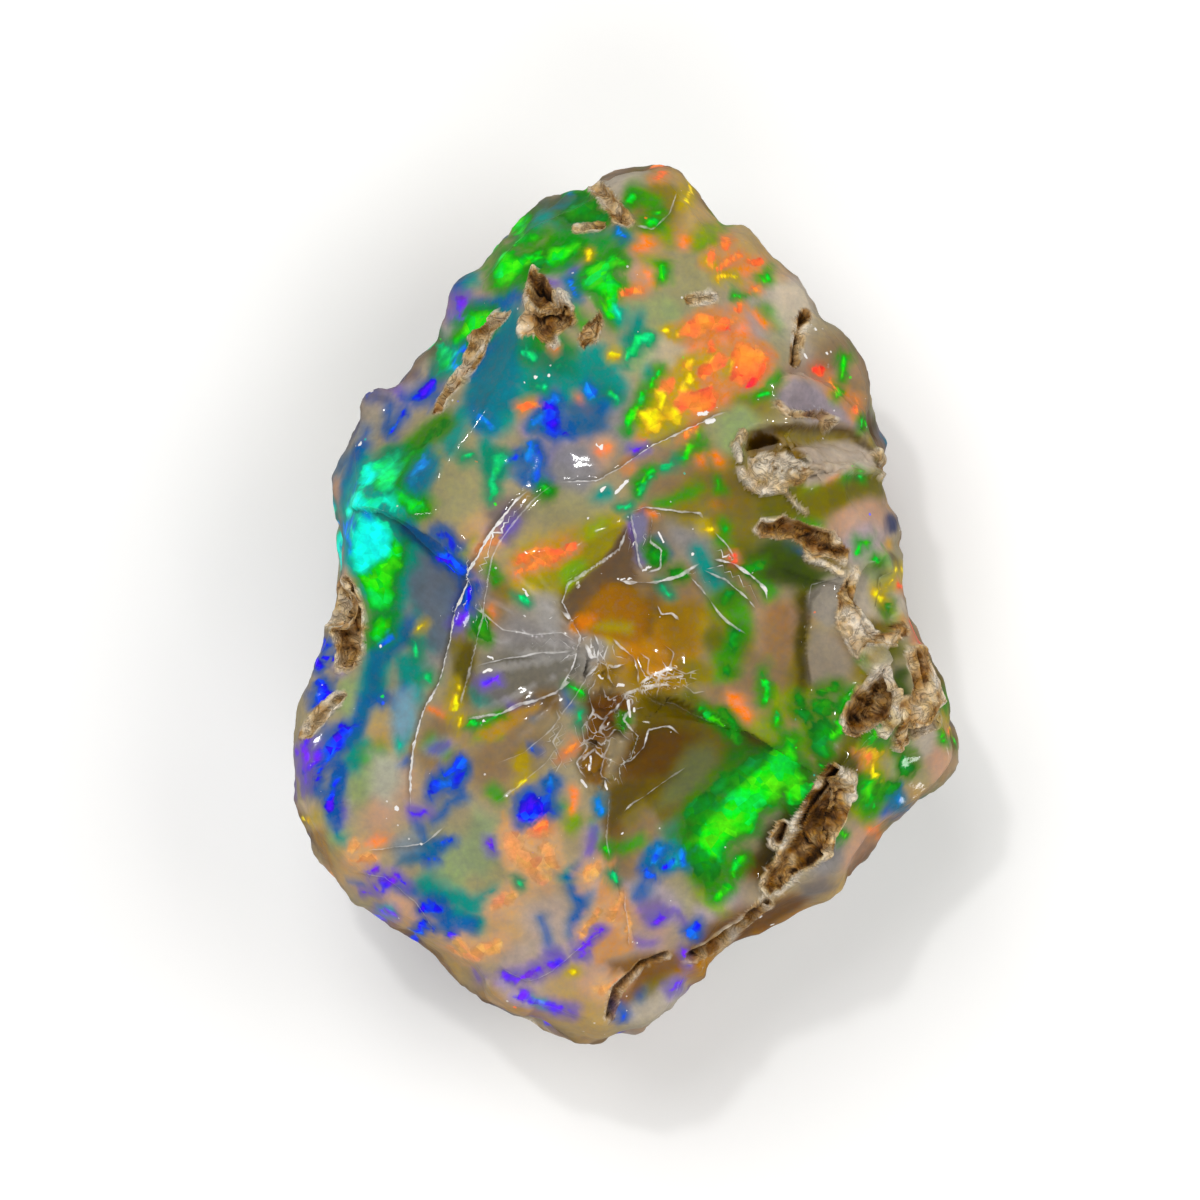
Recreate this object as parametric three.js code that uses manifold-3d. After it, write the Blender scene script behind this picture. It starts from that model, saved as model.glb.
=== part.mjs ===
// A piece of rough precious opal, broken out of its host rock and never cut or polished.
// It lies on its back: +Z is up, +Y runs along its length, and it rests on a small natural flat.
// The body is one egg-shaped lump. Shell-like (conchoidal) breaks have scooped its upper side into
// crisp-edged faces, and crumbling host rock has left pits and clefts, most of them along the right edge.
// All sizes are in millimetres.
import * as THREE from "three";
import { mergeVertices } from "three/addons/utils/BufferGeometryUtils.js";
import Module from "manifold-3d";

const wasm = await Module();
wasm.setup();

const crownRise = 6.5; // from the widest level up to where the unbroken crown would be
const backDrop = 6.0; // from the widest level down to where the unbroken back would be
const restDrop = 5.45; // from the widest level down to the flat it rests on
const crownFullness = 2.7; // 2 is an ellipsoid, and more is a flatter top with steeper sides
const backFullness = 2.2;
const lumpHeight = 0.16; // of the natural skin's swellings
const lumpWavelength = 5.2;
const skinFacet = 1.25; // edge of the mesh facets on the natural skin
const breakFacet = 1.8; // edge of the mesh facets on the broken faces
const pitFacet = 0.85;
const knobRoot = 0.8; // how far a knob goes into the stone, as a share of how far it stands up

// The stone's outline seen from above, corner by corner, anticlockwise from the right.
const outline = [
  [9.6, 0], [9.45, 1.6], [9, 2.2], [8.85, 2.9], [8.6, 4.4], [8.7, 5.3], [8.3, 6.1], [8.1, 7.6],
  [7.3, 9.1], [6.4, 9.9], [5.9, 10.7], [4.9, 11.5], [4.2, 12.6], [3.3, 12.9], [2.4, 13.7], [1.4, 14.35],
  [-0.2, 14.45], [-1.2, 13.9], [-2.7, 13.3], [-4.2, 12], [-4.9, 11.1], [-5.7, 10.4], [-5.9, 9.6],
  [-7.2, 8.1], [-7.7, 7.3], [-8.5, 7.2], [-8.9, 6.4], [-9.2, 5], [-9.5, 3.8], [-9.4, 2], [-9.5, 0.2],
  [-9.9, -0.9], [-10.6, -2.4], [-11, -4.2], [-10.9, -6], [-10.4, -7.8], [-9.7, -8.9], [-8.4, -10.1],
  [-6.6, -11.5], [-5.2, -12.4], [-4.5, -13.2], [-2.7, -13.9], [-1.8, -14.4], [-0.8, -14.45],
  [-0.2, -14.1], [0.9, -13.8], [1.9, -13], [2.15, -12.6], [2.65, -12.3], [2.75, -11.8], [3.4, -11.1],
  [4.9, -10.7], [6, -10], [7, -9.7], [8, -8.4], [9.2, -7], [9.8, -6.5], [10.8, -5.4], [11, -4.6],
  [10.85, -3.7], [10.5, -2.6], [10, -1.3],
];

// Shell-like breaks. Each is a scoop of the given radius whose middle lies at a place on the stone,
// this deep under the unbroken skin. It faces towards an azimuth (degrees from +X), leaning that far
// from upright.
const crownBreaks = [
  { name: "left shell", at: [-7.5, -1.4], deep: 2, towards: 192, lean: 24, radius: 10.5 },
  { name: "left flank", at: [-7.4, 5.2], deep: 0.8, towards: 170, lean: 28, radius: 12 },
  { name: "lower left face", at: [-6.1, -8.2], deep: 1.05, towards: 222, lean: 22, radius: 24 },
  { name: "dark window", at: [3.1, -6.6], deep: 2.05, towards: 282, lean: 13, radius: 9 },
  { name: "teal face", at: [-2.7, 5.8], deep: 1.15, towards: 140, lean: 9, radius: 17 },
  { name: "orange face", at: [2.6, 8.5], deep: 1, towards: 60, lean: 9, radius: 14 },
  { name: "olive face", at: [4.4, 0.6], deep: 1.85, towards: 325, lean: 9, radius: 15 },
  { name: "amber bowl", at: [0.6, -0.9], deep: 2, towards: 60, lean: 4, radius: 4.6 },
  { name: "grey fan", at: [-2.9, -1.2], deep: 1.6, towards: 195, lean: 8, radius: 7.5 },
  { name: "fan foot", at: [-2.2, -5.2], deep: 1.45, towards: 240, lean: 9, radius: 11 },
  { name: "violet face", at: [2.1, -10.2], deep: 1, towards: 285, lean: 32, radius: 14 },
  { name: "peach face", at: [-2.1, -9.5], deep: 1.15, towards: 250, lean: 26, radius: 22 },
  { name: "green cap", at: [-2.7, 12.3], deep: 0.7, towards: 118, lean: 36, radius: 11 },
  { name: "top face", at: [1.3, 12.7], deep: 0.7, towards: 75, lean: 36, radius: 8 },
  { name: "upper left rim", at: [-6.6, 8.5], deep: 0.75, towards: 150, lean: 40, radius: 12 },
  { name: "upper right rim", at: [4.9, 10.2], deep: 0.75, towards: 42, lean: 40, radius: 10 },
  { name: "right rim", at: [7.4, 7.5], deep: 0.8, towards: 20, lean: 36, radius: 8 },
  { name: "right flank", at: [7.8, 1.5], deep: 0.7, towards: 10, lean: 30, radius: 9 },
  { name: "corner face", at: [8.9, -6.2], deep: 0.9, towards: 325, lean: 40, radius: 9 },
];
// Breaks on the flanks: the same, placed by the azimuth they face and their height from the widest
// level. A negative rise turns the face towards the ground.
const flankBreaks = [
  { name: "west flank", towards: 184, height: -2.6, deep: 0.6, rise: -18, radius: 14 },
  { name: "north west flank", towards: 138, height: -2.4, deep: 0.65, rise: -14, radius: 16 },
  { name: "north east flank", towards: 52, height: -2.4, deep: 0.6, rise: -16, radius: 15 },
  { name: "east flank", towards: 8, height: -2.8, deep: 0.65, rise: -12, radius: 12 },
  { name: "south east flank", towards: 300, height: -2.4, deep: 0.7, rise: -14, radius: 18 },
  { name: "south west flank", towards: 232, height: -2.6, deep: 0.65, rise: -20, radius: 16 },
];
const backBreaks = [
  { name: "back shoulder", at: [-4.6, 6.6], deep: 1, towards: 130, lean: 30, radius: 13 },
  { name: "back hollow", at: [5.2, 5.4], deep: 1, towards: 40, lean: 32, radius: 12 },
  { name: "back corner", at: [6.6, -4.8], deep: 0.9, towards: 330, lean: 34, radius: 10 },
  { name: "back heel", at: [-0.8, -9.6], deep: 0.8, towards: 262, lean: 36, radius: 13 },
  { name: "back flank", at: [-6.9, -2.6], deep: 0.9, towards: 190, lean: 36, radius: 11 },
  { name: "back top", at: [0.6, 11.2], deep: 0.6, towards: 88, lean: 42, radius: 9 },
];

// Pits and clefts that held host rock: half the length, half the width, the depth, and the turn of
// the long side from +X in degrees.
const crownPits = [
  { name: "big pocket", at: [6.2, 4.85], half: [2.4, 1.1], deep: 1.5, turn: -6 },
  { name: "lobe slit", at: [5.9, 6.4], half: [1.2, 0.26], deep: 0.45, turn: -14 },
  { name: "right crevice, west", at: [5.1, 2.6], half: [1, 0.42], deep: 0.7, turn: -4 },
  { name: "right crevice, east", at: [6.7, 1.9], half: [1.2, 0.5], deep: 0.8, turn: -32 },
  { name: "shell bowl edge", at: [8, -0.4], half: [1.5, 0.42], deep: 0.8, turn: 80 },
  { name: "small bowl", at: [8.9, -0.3], half: [0.85, 0.7], deep: 0.75, turn: 0 },
  { name: "deep pocket", at: [8.35, -3.2], half: [1.35, 0.82], deep: 1.25, turn: 58 },
  { name: "long cleft, north", at: [6.4, -6.4], half: [1.7, 0.6], deep: 1.1, turn: 62 },
  { name: "long cleft, south", at: [5.3, -8.4], half: [1.6, 0.85], deep: 1.25, turn: 56 },
  { name: "bottom groove", at: [3.1, -11], half: [1.7, 0.36], deep: 0.7, turn: 28 },
  { name: "bottom slit", at: [0.6, -12], half: [1.4, 0.3], deep: 0.6, turn: 52 },
  { name: "left rim pocket", at: [-9.15, -0.7], half: [1.5, 0.62], deep: 1, turn: 84 },
  { name: "left rim slit", at: [-9.75, -3.5], half: [1, 0.34], deep: 0.6, turn: 52 },
  { name: "diagonal crevice", at: [-5, 7.95], half: [1.95, 0.36], deep: 0.75, turn: 51 },
  { name: "upper pit", at: [-2.4, 9.9], half: [1.05, 0.62], deep: 1, turn: 112 },
  { name: "little pit", at: [-1, 9.1], half: [0.55, 0.3], deep: 0.6, turn: 66 },
  { name: "top wedge", at: [-0.25, 13.1], half: [0.95, 0.34], deep: 0.6, turn: 118 },
  { name: "rim slit", at: [5.55, 8.75], half: [1.1, 0.32], deep: 0.65, turn: 74 },
];
const backPits = [
  { name: "back pocket", at: [6.4, 1], half: [1.9, 1], deep: 1.2, turn: 70 },
  { name: "back crevice", at: [-6.4, 3], half: [2.2, 0.6], deep: 0.9, turn: 98 },
  { name: "back dimple", at: [3.2, -8.6], half: [1.2, 0.7], deep: 0.8, turn: 20 },
  { name: "back gash", at: [-3.4, 9.6], half: [1.6, 0.5], deep: 0.8, turn: 36 },
  { name: "back nick", at: [-6.6, -7], half: [1.1, 0.6], deep: 0.7, turn: 130 },
];

// Knobs of host rock and of glassy opal left standing on the rim and beside the pits: half the
// length, half the width, how far they stand up, and the turn of the long side from +X in degrees.
const knobs = [
  { name: "glassy west knob", at: [-8.1, 6.7], half: [0.75, 0.6], high: 0.4, turn: 20 },
  { name: "glassy east knob", at: [8.2, 2.65], half: [0.7, 0.6], high: 0.4, turn: 0 },
  { name: "glassy upper knob", at: [6.35, 8.6], half: [0.7, 0.5], high: 0.35, turn: 60 },
  { name: "pocket lobe", at: [6.4, 6.95], half: [1.35, 0.55], high: 0.4, turn: -14 },
  { name: "pocket west lip", at: [3.75, 4.8], half: [0.75, 0.25], high: 0.3, turn: 70 },
  { name: "pocket south lip", at: [5.9, 3.65], half: [1.9, 0.3], high: 0.3, turn: -4 },
  { name: "rim lump", at: [8.15, -1.65], half: [0.8, 0.55], high: 0.55, turn: 30 },
  { name: "curled fold, upper", at: [9.35, -2.2], half: [0.75, 0.35], high: 0.45, turn: 110 },
  { name: "curled fold, lower", at: [9.6, -3.9], half: [0.85, 0.4], high: 0.45, turn: 70 },
  { name: "cleft bank", at: [4.3, -9.6], half: [1, 0.5], high: 0.45, turn: 40 },
  { name: "bottom crumb", at: [-3.4, -12.4], half: [1, 0.6], high: 0.3, turn: 155 },
  { name: "west bank", at: [-8.35, -0.9], half: [1.3, 0.3], high: 0.3, turn: 84 },
  { name: "crevice bank", at: [-4.45, 8.3], half: [1.7, 0.25], high: 0.25, turn: 51 },
  { name: "upper pit lip", at: [-2, 10.4], half: [0.9, 0.3], high: 0.35, turn: 105 },
];

const polarOutline = outline
  .map(([x, y]) => ({ angle: Math.atan2(y, x), radius: Math.hypot(x, y) }))
  .sort((a, b) => a.angle - b.angle);

// Distance from the middle to the outline at an angle: a smooth curve through the corners.
function outlineRadius(azimuth) {
  const angle = Math.atan2(Math.sin(azimuth), Math.cos(azimuth));
  const count = polarOutline.length;
  const corner = (k) => {
    const turns = Math.floor(k / count);
    const { angle: a, radius } = polarOutline[k - turns * count];
    return { angle: a + turns * 2 * Math.PI, radius };
  };
  let next = polarOutline.findIndex((c) => c.angle > angle);
  if (next < 0) next = count;
  const [before, from, to, after] = [next - 2, next - 1, next, next + 1].map(corner);
  const span = to.angle - from.angle;
  const u = (angle - from.angle) / span;
  const slopeFrom = ((to.radius - before.radius) / (to.angle - before.angle)) * span;
  const slopeTo = ((after.radius - from.radius) / (after.angle - from.angle)) * span;
  return (
    (2 * u ** 3 - 3 * u ** 2 + 1) * from.radius +
    (u ** 3 - 2 * u ** 2 + u) * slopeFrom +
    (3 * u ** 2 - 2 * u ** 3) * to.radius +
    (u ** 3 - u ** 2) * slopeTo
  );
}

// Height of the unbroken lump over a place in plan: above the widest level, or below it on the back.
function skinHeight(x, y, onBack) {
  const reach = Math.hypot(x, y) / outlineRadius(Math.atan2(y, x));
  const fullness = onBack ? backFullness : crownFullness;
  const height = (1 - Math.min(reach, 1) ** fullness) ** (1 / fullness);
  return onBack ? -backDrop * height : crownRise * height;
}

// Swellings of the natural skin, from a few crossing waves.
function lump(p) {
  const waves = 7;
  const goldenAngle = Math.PI * (3 - Math.sqrt(5));
  let sum = 0;
  for (let k = 0; k < waves; k++) {
    const up = (k + 0.5) / waves;
    const across = Math.sqrt(1 - up * up);
    const turn = k * goldenAngle;
    const along = (p.x * Math.cos(turn) + p.y * Math.sin(turn)) * across + p.z * up;
    const wavelength = lumpWavelength * 0.86 ** k;
    sum += Math.sin((2 * Math.PI * along) / wavelength + 1.7 * k);
  }
  return (lumpHeight * sum) / Math.sqrt(waves);
}

// A point of the unbroken lump, in a direction from the middle.
function skinPoint(direction) {
  const across = Math.hypot(direction.x, direction.y);
  const onBack = direction.z < 0;
  const fullness = onBack ? backFullness : crownFullness;
  const reach = across / outlineRadius(Math.atan2(direction.y, direction.x));
  const rise = Math.abs(direction.z) / (onBack ? backDrop : crownRise);
  const distance = (reach ** fullness + rise ** fullness) ** (-1 / fullness);
  const point = direction.clone().multiplyScalar(distance);
  return point.addScaledVector(direction, lump(point));
}

// A closed triangle mesh of the geometry, as a solid that can be joined and cut.
function solidOf(geometry) {
  const bare = new THREE.BufferGeometry();
  bare.setAttribute("position", geometry.getAttribute("position"));
  bare.setIndex(geometry.getIndex());
  const merged = mergeVertices(bare, 1e-4);
  const mesh = new wasm.Mesh({
    numProp: 3,
    vertProperties: merged.getAttribute("position").array,
    triVerts: new Uint32Array(merged.index.array),
  });
  return new wasm.Manifold(mesh);
}

function geometryOf(solid) {
  const { numProp, numVert, vertProperties, triVerts } = solid.getMesh();
  const positions = new Float32Array(numVert * 3);
  for (let k = 0; k < numVert; k++) {
    positions.set(vertProperties.subarray(k * numProp, k * numProp + 3), 3 * k);
  }
  const geometry = new THREE.BufferGeometry();
  geometry.setAttribute("position", new THREE.BufferAttribute(positions, 3));
  geometry.setIndex(new THREE.BufferAttribute(new Uint32Array(triVerts), 1));
  return geometry;
}

// A ball of even facets about as wide as the given edge.
function ball(radius, facetEdge) {
  return new THREE.IcosahedronGeometry(radius, Math.max(1, Math.round((1.1 * radius) / facetEdge)));
}

function wholeLump() {
  const widest = Math.max(...polarOutline.map((corner) => corner.radius));
  const geometry = ball(widest, skinFacet * 1.25);
  const position = geometry.getAttribute("position");
  const direction = new THREE.Vector3();
  for (let k = 0; k < position.count; k++) {
    direction.fromBufferAttribute(position, k).multiply(new THREE.Vector3(1, 1, 0.5)).normalize();
    const point = skinPoint(direction);
    position.setXYZ(k, point.x, point.y, point.z);
  }
  return solidOf(geometry);
}

// The direction at an azimuth, rising from the level by an angle, both in degrees.
function facingOf(azimuth, rise) {
  const across = Math.cos(THREE.MathUtils.degToRad(rise));
  const turn = THREE.MathUtils.degToRad(azimuth);
  const up = Math.sin(THREE.MathUtils.degToRad(rise));
  return new THREE.Vector3(Math.cos(turn) * across, Math.sin(turn) * across, up);
}

function scoopMiddle({ at: [x, y], deep, towards, lean, radius }, onBack) {
  const up = onBack ? -1 : 1;
  const middle = new THREE.Vector3(x, y, skinHeight(x, y, onBack) - up * deep);
  return middle.addScaledVector(facingOf(towards, up * (90 - lean)), radius);
}

function breakScoop(scoop, onBack) {
  const middle = scoopMiddle(scoop, onBack);
  return solidOf(ball(scoop.radius, breakFacet).translate(middle.x, middle.y, middle.z));
}

function flankScoop({ towards, height, deep, rise, radius }) {
  const fullness = height < 0 ? backFullness : crownFullness;
  const level = Math.abs(height) / (height < 0 ? backDrop : crownRise);
  const azimuth = THREE.MathUtils.degToRad(towards);
  const reach = outlineRadius(azimuth) * (1 - level ** fullness) ** (1 / fullness);
  const middle = new THREE.Vector3(reach * Math.cos(azimuth), reach * Math.sin(azimuth), height);
  middle.addScaledVector(facingOf(towards, rise), radius - deep);
  return solidOf(ball(radius, breakFacet).translate(middle.x, middle.y, middle.z));
}

// Height of the stone's own surface straight above or below a place in plan.
function surfaceHeight(x, y, onBack, breaks) {
  const up = onBack ? -1 : 1;
  let height = skinHeight(x, y, onBack);
  for (const scoop of breaks) {
    const middle = scoopMiddle(scoop, onBack);
    const aside = Math.hypot(x - middle.x, y - middle.y);
    if (aside < scoop.radius) {
      const floor = middle.z - up * Math.sqrt(scoop.radius ** 2 - aside ** 2);
      height = onBack ? Math.max(height, floor) : Math.min(height, floor);
    }
  }
  return height;
}

// A rough-walled egg on the surface: a pit once it is cut away, a knob once it is joined.
function roughEgg({ at: [x, y], half: [halfLength, halfWidth], turn }, halfHeight, middleHeight) {
  const geometry = ball(1, pitFacet / halfLength);
  const position = geometry.getAttribute("position");
  const point = new THREE.Vector3();
  const lumpiness = 0.9;
  for (let k = 0; k < position.count; k++) {
    point.fromBufferAttribute(position, k);
    const local = point.clone().multiplyScalar(2.5).add(new THREE.Vector3(x, y, halfHeight));
    point.multiplyScalar(1 + lumpiness * lump(local));
    position.setXYZ(k, point.x, point.y, point.z);
  }
  geometry.scale(halfLength, halfWidth, halfHeight);
  geometry.rotateZ(THREE.MathUtils.degToRad(turn));
  geometry.translate(x, y, middleHeight);
  return solidOf(geometry);
}

function restCut() {
  const slab = new THREE.BoxGeometry(40, 40, 4);
  slab.translate(0, 0, -restDrop - 2);
  return solidOf(slab);
}

function roughOpal() {
  const breaks = [
    ...crownBreaks.map((scoop) => breakScoop(scoop, false)),
    ...flankBreaks.map((scoop) => flankScoop(scoop)),
    ...backBreaks.map((scoop) => breakScoop(scoop, true)),
  ];
  const pits = [
    ...crownPits.map((pit) => roughEgg(pit, pit.deep, surfaceHeight(...pit.at, false, crownBreaks))),
    ...backPits.map((pit) => roughEgg(pit, pit.deep, surfaceHeight(...pit.at, true, backBreaks))),
  ];
  const standing = knobs.map((knob) => {
    const ground = surfaceHeight(...knob.at, false, crownBreaks);
    return roughEgg(knob, knob.high * (1 + knobRoot), ground - knob.high * knobRoot);
  });
  const broken = breaks.reduce((rest, cut) => rest.subtract(cut), wholeLump());
  const knobbly = standing.reduce((rest, knob) => rest.add(knob), broken);
  const stone = [...pits, restCut()].reduce((rest, cut) => rest.subtract(cut), knobbly);
  const geometry = geometryOf(stone);
  geometry.computeBoundingBox();
  const { min, max } = geometry.boundingBox;
  geometry.translate(-(min.x + max.x) / 2, -(min.y + max.y) / 2, -min.z);
  return geometry;
}

const opalBody = new THREE.MeshStandardMaterial({ color: 0x9c8f76, roughness: 0.18, metalness: 0 });

const opal = new THREE.Mesh(roughOpal(), opalBody);
opal.name = "opal";

const group = new THREE.Group();
group.add(opal);

export default group;
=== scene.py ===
# A rough piece of precious opal, lying on a pale floor under soft light, seen from straight above.
import bpy
import functools
import itertools
import math
import numpy as np
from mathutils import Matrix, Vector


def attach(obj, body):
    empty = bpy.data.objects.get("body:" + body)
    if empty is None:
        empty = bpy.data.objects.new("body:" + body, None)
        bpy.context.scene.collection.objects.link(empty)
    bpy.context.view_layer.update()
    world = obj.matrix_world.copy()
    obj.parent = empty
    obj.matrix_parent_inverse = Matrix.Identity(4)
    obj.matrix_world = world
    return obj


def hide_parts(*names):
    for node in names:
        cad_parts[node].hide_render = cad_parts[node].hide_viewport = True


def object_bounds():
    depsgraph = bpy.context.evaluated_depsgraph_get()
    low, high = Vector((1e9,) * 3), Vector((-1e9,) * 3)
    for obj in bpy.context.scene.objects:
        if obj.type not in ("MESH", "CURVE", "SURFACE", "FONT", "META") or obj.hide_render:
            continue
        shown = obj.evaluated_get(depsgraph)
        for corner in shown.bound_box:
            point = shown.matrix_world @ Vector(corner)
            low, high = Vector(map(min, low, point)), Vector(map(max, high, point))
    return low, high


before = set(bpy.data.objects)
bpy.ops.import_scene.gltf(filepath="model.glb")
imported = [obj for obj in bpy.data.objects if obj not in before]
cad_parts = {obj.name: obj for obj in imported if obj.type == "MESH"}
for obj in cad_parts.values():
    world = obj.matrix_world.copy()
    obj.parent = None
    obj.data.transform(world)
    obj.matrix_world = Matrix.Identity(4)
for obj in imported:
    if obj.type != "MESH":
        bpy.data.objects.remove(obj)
cadLow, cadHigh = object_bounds()
print("frame loaded")

mm = 0.001  # lengths below are millimetres, and Blender's are metres
# the plan is measured in pixels of the photograph's 1200 px frame
photoView = {"pixelsPerMm": 30, "stoneCentrePx": (627, 604.5)}


def placeOf(px, py):  # millimetres from the stone's centre in plan
    cx, cy = photoView["stoneCentrePx"]
    return np.array([px - cx, cy - py]) / photoView["pixelsPerMm"]


def placesOf(row):  # the same for a row of "px,py" places
    return np.array([placeOf(*map(float, spot.split(","))) for spot in row.split()])


def strokesOf(rows):  # strokes parted by semicolons: half the width in mm, then the places each runs through
    for stroke in rows.split(";"):
        half, row = stroke.split(None, 1)
        yield float(half), row


def linearOf(hexColour):  # sRGB hex to linear RGB
    channels = [int(hexColour[k:k + 2], 16) / 255 for k in (1, 3, 5)]
    return np.array([c / 12.92 if c <= 0.04045 else ((c + 0.055) / 1.055) ** 2.4 for c in channels])


farAway = 99.0  # mm, for what is nowhere near
noiseOrigin = 31.7  # keeps the planes of the noises' grid off the middle of the stone
# one seed for each use of a noise. Another seed would lay bumps of the same kind in other places
seeds = {
    "swells": 3, "skin": 5, "nibbles": 7, "ripples": 8, "pitEdge": 11, "folds": 15, "rockTone": 17,
    "pitRim": 19, "crumbs": 21, "cracks": 31, "ridges": 40, "chips": 51, "rays": 61, "stains": 71,
    "washes": 75, "flashes": 77, "facets": 79, "domains": 81, "patchy": 85, "backStain": 101,
    "backSkin": 103, "backRock": 105, "backWarp": 107, "backFlashes": 111, "backEdge": 121, "rim": 131,
    "rimBrown": 133, "backWashes": 141,
}


def cornerNumber(cell, seed):  # a number from 0 to 1 for each cell of the grid, the same every run
    x, y, z = (cell[:, k].astype(np.uint32) for k in range(3))
    n = x * np.uint32(374761393) + y * np.uint32(668265263) + z * np.uint32(2246822519)
    n = n + np.uint32(seed * 3266489)
    n = (n ^ (n >> np.uint32(13))) * np.uint32(1274126177)
    return ((n ^ (n >> np.uint32(16))) & np.uint32(0xFFFFFF)) / float(0xFFFFFF)


def softNoise(points, size, seed):  # -1 to 1, with bumps about this many mm across
    q = points / size + noiseOrigin
    cell = np.floor(q).astype(np.int64)
    f = q - cell
    f = f * f * (3 - 2 * f)
    total = np.zeros(len(points))
    for step in itertools.product((0, 1), repeat=3):
        wx, wy, wz = (f[:, k] if d else 1 - f[:, k] for k, d in enumerate(step))
        total += wx * wy * wz * cornerNumber(cell + np.array(step), seed)
    return 2 * total - 1


def roughNoise(points, size, seed, octaves):  # the same with finer and fainter bumps laid over it
    total, weight = np.zeros(len(points)), 0
    for k in range(octaves):
        total += softNoise(points, size / 2 ** k, seed + 7 * k) / 2 ** k
        weight += 1 / 2 ** k
    return total / weight


def chipNoise(points, size, seed):  # how far the nearest chip's centre is, the way from it, its number
    q = points / size + noiseOrigin
    cell = np.floor(q).astype(np.int64)
    nearest = np.full(len(points), 9.0)
    offset = np.zeros((len(points), 3))
    number = np.zeros(len(points))
    for step in itertools.product((-1, 0, 1), repeat=3):
        c = cell + np.array(step)
        centre = c + np.stack([cornerNumber(c, seed + k) for k in range(3)], 1)
        away = q - centre
        d = np.linalg.norm(away, axis=1)
        closer = d < nearest
        number = np.where(closer, cornerNumber(c, seed + 5), number)
        offset[closer] = away[closer]
        nearest = np.minimum(nearest, d)
    return nearest, offset * size, number


def ramp(low, high, value):  # 0 below low, 1 above high, smooth between
    t = np.clip((value - low) / (high - low), 0, 1)
    return t * t * (3 - 2 * t)


# the stone's form: one lump, scooped by shell-like breaks. Millimetres and degrees
stoneForm = {
    "crownRise": 6.5, "backDrop": 6.0, "restDrop": 5.45, "crownFullness": 2.7, "backFullness": 2.2,
    "lumpHeight": 0.16, "lumpSize": 5.2, "lumpShrink": 0.86, "lumpShift": 1.7, "lumpWaves": 7,
    "ridgeRounding": 0.07, "ridgeWander": 0.12, "ridgeWanderSize": 2.8, "driftTurn": 2.4, "driftTwist": 1.7,
    "outline": """
        9.6,0 9.45,1.6 9,2.2 8.85,2.9 8.6,4.4 8.7,5.3 8.3,6.1 8.1,7.6 7.3,9.1 6.4,9.9 5.9,10.7 4.9,11.5
        4.2,12.6 3.3,12.9 2.4,13.7 1.4,14.35 -0.2,14.45 -1.2,13.9 -2.7,13.3 -4.2,12 -4.9,11.1 -5.7,10.4
        -5.9,9.6 -7.2,8.1 -7.7,7.3 -8.5,7.2 -8.9,6.4 -9.2,5 -9.5,3.8 -9.4,2 -9.5,0.2 -9.9,-0.9 -10.6,-2.4
        -11,-4.2 -10.9,-6 -10.4,-7.8 -9.7,-8.9 -8.4,-10.1 -6.6,-11.5 -5.2,-12.4 -4.5,-13.2 -2.7,-13.9
        -1.8,-14.4 -0.8,-14.45 -0.2,-14.1 0.9,-13.8 1.9,-13 2.15,-12.6 2.65,-12.3 2.75,-11.8 3.4,-11.1
        4.9,-10.7 6,-10 7,-9.7 8,-8.4 9.2,-7 9.8,-6.5 10.8,-5.4 11,-4.6 10.85,-3.7 10.5,-2.6 10,-1.3""",
    # name: place in plan, depth under the unbroken skin, azimuth and lean of its face, radius
    "crownBreaks": {
        "left shell": ((-7.4, -1.0), 2.05, 190, 25, 10),
        "left flank": ((-7.4, 5.6), 0.55, 166, 30, 14),
        "lower left face": ((-6.1, -8.2), 1.05, 222, 22, 24),
        "dark window": ((3.1, -6.6), 2.05, 282, 13, 9),
        "teal face": ((-2.7, 5.8), 1.15, 140, 9, 17),
        "orange face": ((2.6, 8.5), 1, 60, 9, 14),
        "olive face": ((4.4, 0.6), 1.85, 325, 9, 15),
        "amber bowl": ((0.6, -0.9), 2, 60, 4, 4.6),
        "grey fan": ((-2.7, -1.4), 1.5, 195, 8, 7.5),
        "fan foot": ((-2.2, -5.2), 1.45, 240, 9, 11),
        "violet face": ((2.1, -10.2), 1, 285, 32, 14),
        "peach face": ((-2.1, -9.5), 1.15, 250, 26, 22),
        "green cap": ((-2.7, 12.3), 0.7, 118, 36, 11),
        "top face": ((1.3, 12.7), 0.7, 75, 36, 8),
        "upper left rim": ((-6.6, 8.5), 0.75, 150, 40, 12),
        "upper right rim": ((4.9, 10.2), 0.75, 42, 40, 10),
        "right rim": ((7.4, 7.5), 0.8, 20, 36, 8),
        "right flank": ((7.8, 1.5), 0.7, 10, 30, 9),
        "corner face": ((8.9, -6.2), 0.9, 325, 40, 9),
    },
    # name: azimuth, height from the widest level, depth, rise of its face, radius
    "flankBreaks": {
        "west flank": (184, -2.6, 0.6, -18, 14),
        "north west flank": (138, -2.4, 0.65, -14, 16),
        "north east flank": (52, -2.4, 0.6, -16, 15),
        "east flank": (8, -2.8, 0.65, -12, 12),
        "south east flank": (300, -2.4, 0.7, -14, 18),
        "south west flank": (232, -2.6, 0.65, -20, 16),
    },
    "backBreaks": {
        "back shoulder": ((-4.6, 6.6), 1, 130, 30, 13),
        "back hollow": ((5.2, 5.4), 1, 40, 32, 12),
        "back corner": ((6.6, -4.8), 0.9, 330, 34, 10),
        "back heel": ((-0.8, -9.6), 0.8, 262, 36, 13),
        "back flank": ((-6.9, -2.6), 0.9, 190, 36, 11),
        "back top": ((0.6, 11.2), 0.6, 88, 42, 9),
    },
}
breakNames = [*stoneForm["crownBreaks"], *stoneForm["flankBreaks"], *stoneForm["backBreaks"]]


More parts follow.
